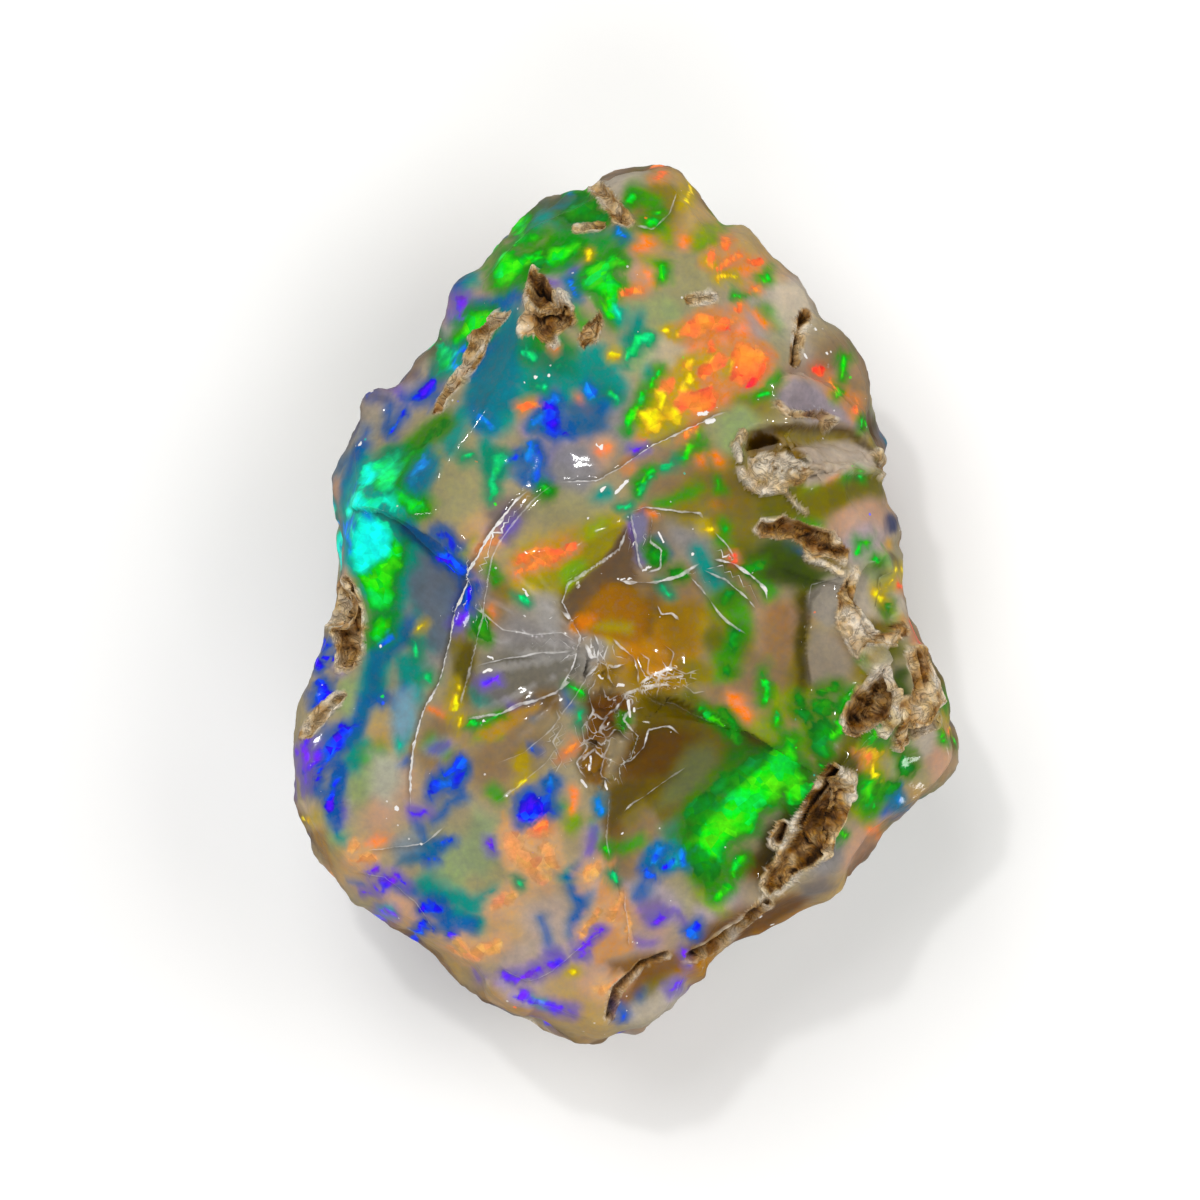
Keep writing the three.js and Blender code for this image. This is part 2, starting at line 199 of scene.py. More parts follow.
def outlineReach(azimuth):  # a smooth curve through the outline's corners
    places = [tuple(map(float, spot.split(","))) for spot in stoneForm["outline"].split()]
    corners = sorted((math.atan2(y, x), math.hypot(x, y)) for x, y in places)
    angle = np.array([c[0] for c in corners])
    reach = np.array([c[1] for c in corners])
    turn = 2 * math.pi
    angle = np.concatenate([angle[-2:] - turn, angle, angle[:2] + turn])
    reach = np.concatenate([reach[-2:], reach, reach[:2]])
    azimuth = np.arctan2(np.sin(azimuth), np.cos(azimuth))
    k = np.clip(np.searchsorted(angle, azimuth) - 1, 1, len(angle) - 3)
    span = angle[k + 1] - angle[k]
    u = (azimuth - angle[k]) / span
    slopeIn = (reach[k + 1] - reach[k - 1]) / (angle[k + 1] - angle[k - 1]) * span
    slopeOut = (reach[k + 2] - reach[k]) / (angle[k + 2] - angle[k]) * span
    return ((2 * u ** 3 - 3 * u ** 2 + 1) * reach[k] + (u ** 3 - 2 * u ** 2 + u) * slopeIn
            + (3 * u ** 2 - 2 * u ** 3) * reach[k + 1] + (u ** 3 - u ** 2) * slopeOut)


def skinHeight(x, y, onBack=False):  # of the unbroken lump, from the widest level
    fullness = stoneForm["backFullness" if onBack else "crownFullness"]
    share = np.minimum(np.hypot(x, y) / outlineReach(np.arctan2(y, x)), 1)
    height = (1 - share ** fullness) ** (1 / fullness)
    return -stoneForm["backDrop"] * height if onBack else stoneForm["crownRise"] * height


def lumps(points):  # the natural skin's swellings, from a few crossing waves
    sf = stoneForm
    waves = sf["lumpWaves"]
    goldenAngle = math.pi * (3 - math.sqrt(5))
    total = np.zeros(len(points))
    for k in range(waves):
        up = (k + 0.5) / waves
        across = math.sqrt(1 - up * up)
        way = np.array([across * math.cos(k * goldenAngle), across * math.sin(k * goldenAngle), up])
        wavelength = sf["lumpSize"] * sf["lumpShrink"] ** k
        total += np.sin(2 * math.pi * (points @ way) / wavelength + sf["lumpShift"] * k)
    return sf["lumpHeight"] * total / math.sqrt(waves)


def skinDistance(way):  # from the middle to the unbroken lump
    sf = stoneForm
    onBack = way[:, 2] < 0
    fullness = np.where(onBack, sf["backFullness"], sf["crownFullness"])
    share = np.hypot(way[:, 0], way[:, 1]) / outlineReach(np.arctan2(way[:, 1], way[:, 0]))
    rise = np.abs(way[:, 2]) / np.where(onBack, sf["backDrop"], sf["crownRise"])
    distance = (share ** fullness + rise ** fullness) ** (-1 / fullness)
    return distance + lumps(way * distance[:, None])


def facing(azimuth, rise):  # the direction at an azimuth from +X, rising from the level, in degrees
    a, r = math.radians(azimuth), math.radians(rise)
    return np.array([math.cos(a) * math.cos(r), math.sin(a) * math.cos(r), math.sin(r)])


def breakScoops():  # centre and radius of each break's sphere, in the order of breakNames
    sf = stoneForm
    scoops = []
    for onBack, group in ((False, "crownBreaks"), (True, "backBreaks")):
        up = -1 if onBack else 1
        for (x, y), deep, towards, lean, radius in sf[group].values():
            ground = np.array([x, y, float(skinHeight(x, y, onBack)) - up * deep])
            scoops.append((ground + radius * facing(towards, up * (90 - lean)), radius))
        if onBack:
            continue
        for towards, height, deep, rise, radius in sf["flankBreaks"].values():
            fullness = sf["backFullness"]
            level = abs(height) / sf["backDrop"]
            azimuth = math.radians(towards)
            reach = float(outlineReach(np.array([azimuth]))[0]) * (1 - level ** fullness) ** (1 / fullness)
            ground = np.array([reach * math.cos(azimuth), reach * math.sin(azimuth), height])
            scoops.append((ground + (radius - deep) * facing(towards, rise), radius))
    return scoops


def brokenDistance(way):  # from the middle to the stone, and which surface is met there
    sf = stoneForm
    skin = skinDistance(way)
    spots = way * skin[:, None]
    drifts = [roughNoise(spots, sf["ridgeWanderSize"], seeds["ridges"] + k, 4) for k in range(3)]
    distances = [skin]
    for k, (centre, radius) in enumerate(breakScoops()):
        along = way @ centre
        inside = along ** 2 - centre @ centre + radius ** 2
        hit = (inside > 0) & (along > 0)
        entry = np.where(hit, along - np.sqrt(np.maximum(inside, 0)), farAway)
        turn = sf["driftTurn"] * k
        drift = math.cos(turn) * drifts[0] + math.sin(turn) * drifts[1]
        drift += math.cos(sf["driftTwist"] * turn) * drifts[2]
        distances.append(entry + sf["ridgeWander"] * drift)
    met = distances[0]
    for other in distances[1:]:
        k = sf["ridgeRounding"]
        blend = np.clip(0.5 + 0.5 * (other - met) / k, 0, 1)
        met = other * (1 - blend) + met * blend - k * blend * (1 - blend)
    floor = np.where(way[:, 2] < 0, -sf["restDrop"] / np.minimum(way[:, 2], -1e-6), farAway)
    return np.minimum(met, floor), np.stack(distances, 1)


print("form ready")

# pits and clefts that held host rock
pitSettings = {
    "wallWidth": 0.11, "wallSlope": 0.26, "wander": 0.27, "wanderSize": 0.75, "rimWidth": 0.07,
    "rimHeight": 0.09, "rimSize": 0.8, "rimBreaks": (-0.12, 0.2), "lipReach": 0.09, "lipAt": 0.04,
    "crumbSize": 0.6, "crumbHeight": 0.13, "crumbLevel": 0.55, "crumbSpread": 0.3, "crumbMiddle": 0.25,
    "foldSize": 0.85, "foldHeight": 0.22, "foldSink": 0.25, "creaseReach": 0.07, "creaseDepth": 0.1,
    # heights between which the crown's and the back's pits begin, and depths between which a pit is one
    "upper": (-0.2, 1.3), "lower": (-0.8, -2.2), "isPit": (0.1, 0.5),
    # the share of a wall's width that lies outside a pit's edge, and the tones of lumps and of walls, the
    # walls darker as painted shade
    "wallOut": 0.35, "lumpTone": 0.9, "wallToneInShade": 0.62, "wallToneSpread": 0.3, "toneSize": 0.45,
    # the tone's random drift, then painted light and shade on the crumbs, and painted shade in the creases
    "toneDrift": 0.5, "crumbLightAndShade": 0.35, "creasePaintedShade": 0.4,
    # the host rock, from the painted shade of its dark clefts to its dry pale rims
    "tones": ["#150a02", "#3c2409", "#7d5220", "#b48d56", "#d2b88e", "#e4d6c0"],
    # name: half its width (nought for a closed outline), depth, share of host rock, its tone from dark
    # painted shade to dry pale rock, and where it runs
    "crown": {
        "big pocket": (0, 0.55, 0.06, 1, """744,438 752,429 766,425 790,426 822,424 846,428 870,438
        880,452 880,468 862,469 840,470 826,478 812,486 798,483 786,484 770,478 754,469 742,460"""),
        "pocket hollow": (0, 1.15, 0.1, 0.1,
            "749,434 760,428 774,430 782,438 780,448 768,453 752,452 745,444"),
        "pocket shade": (0, 0.85, 0.1, 0.3, "780,436 806,440 816,450 806,462 792,460 778,452"),
        "pocket floor": (0, 0.57, 0.9, 1.2,
            "752,465 768,462 786,462 800,466 812,474 802,482 784,482 766,477 752,471"),
        "lobe slit": (0.03, 0.3, 0.8, 0.5, "779,404 790,414 818,415 832,423"),
        "right crevice": (0, 0.45, 1, 0.5, """757,528 763,520 776,521 784,516 800,524 830,531 839,541
        848,550 844,560 828,555 812,552 803,540 793,533 782,536 763,534"""),
        "crevice cleft": (0.07, 0.75, 1, 0.1, "796,528 812,536 826,546"),
        "bowl edge": (0, 0.28, 1, 0.85, """846,576 856,566 860,571 853,582 855,600 864,616 880,631
        892,634 901,624 904,631 894,641 868,640 858,654 848,640 841,612 840,592"""),
        "bowl slit": (0.09, 0.7, 1, 0.15, "852,577 851,590 857,600"),
        "small bowl": (0, 0.45, 0.05, 0.5,
            "860,575 870,562 884,560 896,575 901,600 899,620 889,629 876,627 864,612 857,596"),
        "deep pocket": (0, 0.85, 1, 0.6,
            "847,714 851,702 860,691 876,677 884,668 891,688 892,701 884,711 866,724 852,731 846,724"),
        "pocket crack": (0.07, 1.1, 1, 0.02, "866,689 880,673 889,686"),
        "pocket corner": (0.1, 1.1, 1, 0.02, "850,725 856,727"),
        "fold": (0, 0.12, 1, 0.78, """906,652 914,645 925,660 934,688 937,700 924,711 910,713 906,738
        899,742 896,727 899,711 893,700 910,694 914,684"""),
        "fold gap": (0.26, 0.5, 0.5, 0.5, "914,724 932,716"),
        "fold slit": (0.045, 0.35, 1, 0.45, "912,650 919,682"),
        "long cleft": (0, 0.5, 1, 0.42, """838,768 845,777 852,792 845,804 835,816 833,833 827,847
        817,858 800,868 783,886 770,891 764,880 768,868 780,856 786,838 803,812 820,790 836,768"""),
        "cleft slit": (0.15, 0.8, 1, 0, "834,767 822,785 808,804 797,822"),
        "cleft hole": (0.14, 0.9, 1, 0, "784,822 779,836"),
        "cleft gap": (0.09, 0.9, 1, 0.03, "806,836 790,851"),
        "bottom groove": (0.15, 0.5, 0.6, 0.3, "768,896 742,921 712,943 694,951"),
        "bottom slit": (0.09, 0.35, 0.6, 0.15, "668,950 644,958 620,984 612,1010"),
        "left rim pocket": (0, 0.6, 1, 0.72,
            "352,576 361,587 367,604 368,625 364,646 355,664 346,664 341,645 339,620 343,598"),
        "rim pocket slit": (0.05, 0.8, 1, 0.2, "350,656 358,640 361,618"),
        "left rim slit": (0, 0.3, 1, 0.75,
            "330,703 342,694 350,692 337,706 326,720 316,731 309,731 315,720"),
        "diagonal crevice": (0, 0.35, 1, 0.78, """515,313 508,321 497,329 489,342 487,353 478,367
        466,384 452,401 440,412 445,397 461,377 470,360 476,345 480,334 494,324"""),
        "upper pit": (0, 0.45, 1, 0.62, """537,270 546,286 557,298 574,310 573,326 558,333 557,343
        547,339 538,333 528,333 528,324 535,308 535,282"""),
        "upper cleft": (0.1, 0.85, 1, 0.08, "543,281 551,294 562,304 569,311"),
        "little pit": (0, 0.2, 1, 0.85, "603,317 604,330 598,342 588,344 585,339 593,327"),
        "little cleft": (0.07, 0.45, 1, 0.25, "601,323 598,338"),
        "top wedge": (0, 0.3, 1, 0.8, "596,189 606,184 616,198 625,209 634,224 630,230 618,222 611,206"),
        "top slit": (0.08, 0.3, 0.9, 0.6, "580,230 604,227"),
        "speck pit": (0.12, 0.25, 0.9, 0.75, "692,301 712,299"),
        "rim slit": (0.11, 0.5, 1, 0.5, "806,314 799,338 797,362"),
    },
    "back": {
        "back pocket": (0.9, 1.1, 1, 0.6, "807,610.5 831,538.5"),
        "back crevice": (0.45, 0.8, 1, 0.5, "441,568.5 429,460.5"),
        "back dimple": (0.6, 0.7, 0.8, 0.7, "705,868.5 744,853.5"),
        "back gash": (0.4, 0.7, 1, 0.5, "498,334.5 552,295.5"),
        "back nick": (0.5, 0.6, 1, 0.6, "444,826.5 417,799.5"),
    },
}

# what stands up, glassy opal or lumps and folds of host rock: half the width, height, share of rock, and
# where it runs
knobSettings = {
    "glassy west knob": (0.5, 0.2, 0, "376,396 378,402"),
    "glassy east knob": (0.5, 0.2, 0, "889,520 891,527"),
    "glassy upper knob": (0.4, 0.2, 0, "818,340 828,356"),
    "pocket lobe": (0.5, 0.4, 0, "793,388 822,396 852,416"),
    "pocket west lip": (0.15, 0.22, 0.9, "741,458 737,446 744,433"),
    "pocket south lip": (0.16, 0.22, 1, "742,470 756,486 764,488 784,486"),
    "pocket east lip": (0.13, 0.2, 0.9, "880,450 885,464 880,474"),
    "pocket shelf": (0.5, 0.34, 0, "812,456 836,452 862,458"),
    "shelf front": (0.26, 0.3, 0.2, "806,474 830,466 872,466"),
    "south west lip": (0.1, 0.16, 1, "744,476 750,486 762,491"),
    "crevice thread": (0.09, 0.14, 0.7, "783,487 796,503 806,511"),
    "crevice south lip": (0.12, 0.2, 0.9, "808,556 828,563 842,572"),
    "rim lump": (0.42, 0.5, 0.35, "869,650 873,659"),
    "bowl lip": (0.14, 0.25, 0.8, "868,640 886,641 901,628"),
    "curled fold": (0.3, 0.45, 1, "914,652 924,680 930,700 914,716"),
    "fold foot": (0.2, 0.35, 1, "905,708 900,726 897,740"),
    "pocket bank": (0.14, 0.3, 0.9, "894,690 893,712 880,728"),
    "cleft bank": (0.3, 0.25, 1, "848,775 838,808 822,838"),
    "cleft foot": (0.35, 0.35, 0.6, "792,862 776,880"),
    "bottom crumb": (0.4, 0.16, 0.2, "500,984 524,1000"),
    "west bank": (0.16, 0.22, 0.9, "361,590 368,620 362,655"),
    "crevice bank": (0.14, 0.2, 0.8, "502,316 484,346 470,380"),
    "upper pit lip": (0.14, 0.22, 0.8, "538,272 532,300 540,326"),
    "upper pit crumb": (0.2, 0.3, 1, "566,300 574,322"),
}

crackSettings = {
    "stepReach": 0.5, "wander": 0.05, "wanderSize": 0.6, "farthest": 0.4, "endShare": 0.12,
    "scarpEndShare": 0.15, "scarpEdge": 0.03, "palest": (0.3, 0.2),
}

# fracture lines on the crown: the step between the two sides, how pale it shows, where it runs
crackLines = {
    "long arc": (0.1, 1.4,
        "541,483 520,500 497,528 474,570 459,612 452,650 444,678 428,706 419,741 416,778 416,812"),
    "second arc": (-0.08, 0.5, "560,480 536,500 508,534 497,556 492,580 488,616 474,668 462,714"),
    "bowl rim": (0.14, 0.8, "735,411 718,416 690,428 655,446 625,466 598,481 560,481"),
    "amber top": (-0.07, 0.9, "620,578 632,580 659,580 684,573 702,560"),
    "amber west": (0.1, 0.7, "633,522 622,548 596,566 572,582 566,600 578,622"),
    "right arc": (0.1, 1, "714,557 736,562 752,573 767,588 769,600"),
    "inner right arc": (0.06, 0.7, "704,567 728,578 745,592 758,607"),
    "third right arc": (0.06, 0.6, "690,574 704,588 716,604 730,620 748,632"),
    "amber hook": (0.04, 0.8, "659,602 665,612 674,611 682,618"),
    "pillar west": (0.1, 0.8, "633,511 638,536 641,560 646,570"),
    "pillar east": (-0.08, 0.7, "655,514 652,540 664,548 662,566 646,572"),
    "pillar head": (0.06, 0.9, "632,512 648,506 676,510 702,511 706,518"),
    "east thread": (0.03, 0.6, "716,530 730,545 736,556"),
    "fan south": (0.1, 0.7, "468,716 500,710 536,697 560,688 584,668"),
    "fan north": (-0.07, 0.5, "478,602 508,626 536,632 566,630 582,642"),
    "fan middle": (0.06, 0.6, "480,664 510,655 548,650 580,648"),
    "fan web": (0.05, 0.8, "560,690 572,672 578,655 584,634 576,618 562,606"),
    "loop west": (0.05, 0.6, "612,640 607,655 612,672 622,682"),
    "loop middle": (0.05, 0.6, "616,634 624,644 636,655 641,668 641,682"),
    "loop east": (0.04, 0.8, "641,682 655,672 668,667 682,664"),
    "window thread": (0.04, 0.7, "641,684 668,680 684,684"),
    "chip west": (0.1, 0.6, "600,672 592,688 597,708 585,724 590,744 580,758 590,778"),
    "chip east": (-0.1, 0.6, "622,684 636,698 627,716 641,732 634,752 621,764 626,782"),
    "chip bar": (0.08, 0.6, "597,708 606,716 620,704 630,690 646,684"),
    "chip foot": (0.08, 0.6, "578,746 594,733 605,741 617,726 634,736"),
    "chip cross": (0.06, 0.5, "604,682 611,698 627,692 636,706 650,700"),
    "chip side": (0.06, 0.6, "584,758 596,745 607,754 603,768 616,780"),
    "chip heart": (-0.06, 0.5, "616,708 602,724 613,738 606,752 622,760"),
    "chip link": (0.05, 0.5, "588,716 598,728 613,721"),
    "chip ripple": (0.02, 0.4, "640,648 652,656 650,670 662,680 658,692"),
    "chip shell": (0.02, 0.4, "664,640 676,650 672,664 688,670 702,666"),
    "chip tail": (0.02, 0.4, "666,686 684,680 696,690 708,688"),
    "web south": (0.05, 0.4, "560,704 566,722 556,738 566,756 558,770"),
    "head loop": (0.06, 0.9, "588,640 594,652 604,660 616,664 630,660"),
    "head web": (0.05, 0.8, "596,630 602,644 600,662 590,672"),
    "head east": (0.05, 0.5, "640,690 654,684 662,674 676,676"),
    "ray low": (0.04, 0.6, "664,676 684,672 700,676"),
    "window web": (0.03, 0.7, "616,762 634,757 648,742 652,726 672,726 684,734"),
    "window low": (0.03, 0.5, "624,808 651,788 672,773 690,761"),
    "south seam": (0.08, 0.3, "628,880 630,905 633,944"),
    "left seam": (0.06, 0.3, "612,790 610,830 612,852"),
    "amber tail": (0.06, 0.4, "600,656 580,690 556,724 528,748 500,760"),
    "peach thread": (0.05, 0.3, "571,730 548,760 520,784 496,800"),
    "orange notch": (0.05, 0, "776,345 770,356 764,366"),
    "north seam": (0.08, 0.5, "636,226 656,230 672,214 680,190"),
    "west crease": (0.08, 0.5, "372,846 400,842 428,838 452,820"),
    "south west crease": (0.06, 0.3, "352,866 390,872 420,896 444,930"),
    "bottom crease": (0.06, 0.3, "500,960 530,976 556,966 584,940 606,926"),
    "flank crease": (0.16, 0.1, "348,508 378,505 408,519 441,537 467,562 485,590"),
    "window crease": (0.14, 0.1, "640,688 684,700 722,720 763,743 795,757 812,770"),
    "olive crease": (0.12, 0.05, "806,590 808,620 806,650 809,684"),
    "patch crease": (0.08, 0.3, "809,600 812,582 842,574"),
}

# the shattered column below the centre: thin glassy chips, by half its width, their size, tilt and step
chipSettings = {
    "half": 0.75, "size": 0.5, "tilt": 0.7, "step": 0.12, "lengthen": 0.6,
    "path": "600,668 612,704 606,744 596,768",
}

# rays that fan out from where the blow fell
raySettings = {
    "from": (600, 652), "towards": 178, "spread": 62, "reach": 4.6, "count": 26, "height": 0.06,
    "unevenness": 0.25, "firm": 0.6,
}


pathReach = 2.6  # mm; a path has no say further from it than this


def pathDistance(plan, row):  # to the path, share of the way along it, and which side
    corners = placesOf(row)
    nearest = np.full(len(plan), farAway)
    along = np.zeros(len(plan))
    side = np.ones(len(plan))
    close = ((plan > corners.min(0) - pathReach) & (plan < corners.max(0) + pathReach)).all(1)
    spots = plan[close]
    if not len(spots):
        return nearest, along, side
    near, share, turn = np.full(len(spots), farAway), np.zeros(len(spots)), np.ones(len(spots))
    steps = np.linalg.norm(np.diff(corners, axis=0), axis=1)
    before = np.concatenate([[0], np.cumsum(steps)])
    for k, (a, b) in enumerate(zip(corners[:-1], corners[1:])):
        way = (b - a) / steps[k]
        reach = np.clip((spots - a) @ way, 0, steps[k])
        off = spots - a - reach[:, None] * way
        d = np.hypot(off[:, 0], off[:, 1])
        closer = d < near
        share = np.where(closer, (before[k] + reach) / before[-1], share)
        turn = np.where(closer, np.sign(way[0] * off[:, 1] - way[1] * off[:, 0]), turn)
        near = np.minimum(near, d)
    nearest[close], along[close], side[close] = near, share, turn
    return nearest, along, side


def insideOutline(plan, row):  # mm in from a closed outline, less than nought outside it
    depth = -pathDistance(plan, row + " " + row.split()[0])[0]
    close = depth > -farAway / 2
    x, y = plan[close].T
    within = np.zeros(len(x), bool)
    corners = placesOf(row)
    for (ax, ay), (bx, by) in zip(corners, np.roll(corners, -1, axis=0)):
        if ay != by:
            within ^= ((ay > y) != (by > y)) & (x < ax + (y - ay) * (bx - ax) / (by - ay))
    depth[close] = np.where(within, -depth[close], depth[close])
    return depth


def insidePit(plan, half, row):  # mm in from its edge, whether it is a slit of that half width or an outline
    return half - pathDistance(plan, row)[0] if half else insideOutline(plan, row)


print("features listed")

# the stone's own colour: milky, stained olive, amber and brown
stainSettings = {
    "drift": 0.4, "driftSize": 1.3, "ground": "#988c70", "groundWeight": 0.03, "widen": 1.2,
    "richness": 1.12, "rim": ["#5a3c20", "#96785a"], "streakShare": 0.28, "streakColour": "#bcb8b6",
    "falloff": 3.5, "rimFrom": 2.0, "rimTo": 0.6, "rimPatch": 1.4, "rimSize": 0.9, "rimDrift": 1.1,
    "rimShare": 0.7, "crownTop": 1.7, "readInward": 0.55,
}

# the stains, and one colour of painted shade, by name: the colour, and the spots, each half its width in mm
# and where it runs
stainAndShadeSpots = {
    "greyOlive": ("#908a66", """
    .5 470,272 505,228; .7 455,455 450,510; .6 475,500 440,520; .5 690,268 684,290; .5 655,318 630,330; .5
    770,372 780,350; .4 545,505 600,500; .5 500,850 490,880; .4 700,880 690,905; .35 880,770 890,748; .4
    930,775 922,760; .5 545,245 535,252"""),
    "olive": ("#786a26", """
    .7 670,205 650,190; .7 700,480 690,500; .6 740,470 740,520; .5 720,610 745,640; .35 800,640 798,690;
    .35 468,625 470,690; .5 646,790 625,800; .4 670,705 655,702; .4 880,440 884,480; .4 848,790 846,770; .3
    512,590 500,585; .5 680,385 672,372; .4 660,970 650,985; .4 935,655 945,690; .5 760,400 745,392; .4
    575,600 570,585; .5 820,500 840,488; .3 866,664 872,676; .2 893,690 896,704"""),
    "deepOlive": ("#56590a", """
    .45 800,498 770,505; .5 740,560 735,530; .3 802,600 808,580; .35 848,750 856,740; .4 720,640 735,655;
    .3 890,646 885,640; .3 694,700 720,715; .3 655,700 680,702; .5 820,480 855,480"""),
    # painted shade: dark olive under the right crevice and beside the long cleft
    "olivePaintedShade": ("#2f440a", """
    .45 785,560 772,552; .25 774,838 798,812; .2 846,766 840,774; .2 902,675 902,690; .3 740,745 760,752;
    .2 845,762 848,775"""),
    "greenGrey": ("#8a9a6a", """
    .5 370,760 365,785; .5 465,865 450,855; .4 340,838 335,825; .3 350,700 355,690; .5 735,435 745,418; .4
    640,322 665,312; .4 785,325 770,318; .4 695,760 700,740; .35 885,575 880,562; .3 895,755 900,735; .4
    645,355 660,345"""),
    "roseGrey": ("#a8968a",
            ".6 540,910 560,945; .5 585,940 600,955; .5 520,960 545,985; .4 645,925 655,945"),
    "paleGrey": ("#ada394", """
    .5 780,300 800,292; .5 790,345 800,372; .45 660,348 690,340; .4 835,600 826,590; .4 640,178 618,182; .4
    372,400 360,420; .3 430,345 410,365; .4 690,990 670,1000; .35 932,742 925,720; .4 865,600 868,580; .35
    898,600 905,605; .35 640,1005 655,1000"""),
    "lilacGrey": ("#a2959a", """
    .5 745,330 760,318; .3 460,330 468,322; .4 560,448 580,455; .5 830,405 815,392; .4 870,528 860,540; .5
    700,905 730,905; .4 395,395 405,390; .35 560,270 566,290; .4 600,880 640,885; .4 665,905 650,890; .35
    800,270 785,262"""),
    "smoke": ("#827e7c", """
    .5 440,600 446,560; .6 520,628 545,640; .35 440,645 444,625; .5 610,420 630,430; .4 700,545 680,530; .3
    480,600 482,585; .4 560,640 575,630; .35 820,860 830,850"""),
    "milk": ("#94908c", ".35 560,640 548,600; .3 552,660 572,648; .3 590,660 600,650"),
    "greyBrown": ("#836c50", """
    .6 650,530 620,555; .5 700,580 690,600; .6 775,660 780,690; .5 500,612 495,596; .6 500,760 520,740; .6
    645,830 620,850; .5 440,745 450,730; .6 840,360 848,400; .5 690,460 660,470; .5 655,770 670,760; .4
    745,600 755,590; .5 752,690 728,686; .4 840,650 830,665"""),
    "brown": ("#6c5028", """
    .4 610,565 625,590; .4 530,690 515,700; .4 650,625 655,600; .4 640,780 625,790; .3 615,820 620,840; .3
    540,680 548,700; .35 580,595 575,610; .4 720,925 745,912"""),
    "deepBrown": ("#5a3800", """
    .5 664,728 656,745; .4 600,700 615,705; .4 648,750 640,765; .25 596,745 590,755; .3 760,865 745,860"""),
    "amber": ("#b07600", """
    .5 600,600 620,605; .5 680,640 672,625; .4 640,650 660,660; .3 700,962 705,950; .3 775,930 760,925; .3
    640,962 650,955"""),
    "ochre": ("#8a6a10", ".4 652,692 680,668; .3 640,672 655,664; .3 612,668 600,664"),
    "gold": ("#b29a00", """
    .35 612,626 632,628; .6 545,575 575,560; .4 600,540 618,528; .25 530,742 524,756; .3 700,620 690,610"""),
    "orangeAmber": ("#cd8a20", ".3 582,622 600,618; .25 665,672 650,668; .3 640,965 625,975"),
    "pinkTan": ("#b5917a", """
    .5 385,800 400,780; .4 640,262 645,275; .5 785,620 780,640; .5 600,955 590,975; .5 870,510 850,515; .4
    855,858 870,840; .4 500,290 488,290; .5 420,910 410,900; .5 800,375 790,365; .4 600,452 585,440; .4
    935,790 945,745; .5 350,560 345,480; .4 830,380 845,370; .4 890,840 895,820; .5 640,920 650,930"""),
    "tan": ("#ac9060", """
    .5 480,535 460,555; .5 695,215 710,235; .5 400,730 385,740; .5 590,1020 600,1000; .4 830,890 850,878;
    .4 455,740 450,755; .4 690,180 672,178; .5 785,265 750,250; .5 450,960 420,930; .4 910,800 925,790; .4
    350,860 345,850; .6 560,985 580,1000"""),
    "peachTan": ("#bd9a72", """
    .6 520,895 510,915; .4 355,865 370,848; .4 480,545 490,520; .5 540,840 530,870; .4 470,930 450,945"""),
    "brownTan": ("#9c7440", """
    .5 505,1000 530,1012; .4 700,975 695,960; .4 800,905 780,925; .4 740,930 720,940; .3 330,855 322,830"""),
}
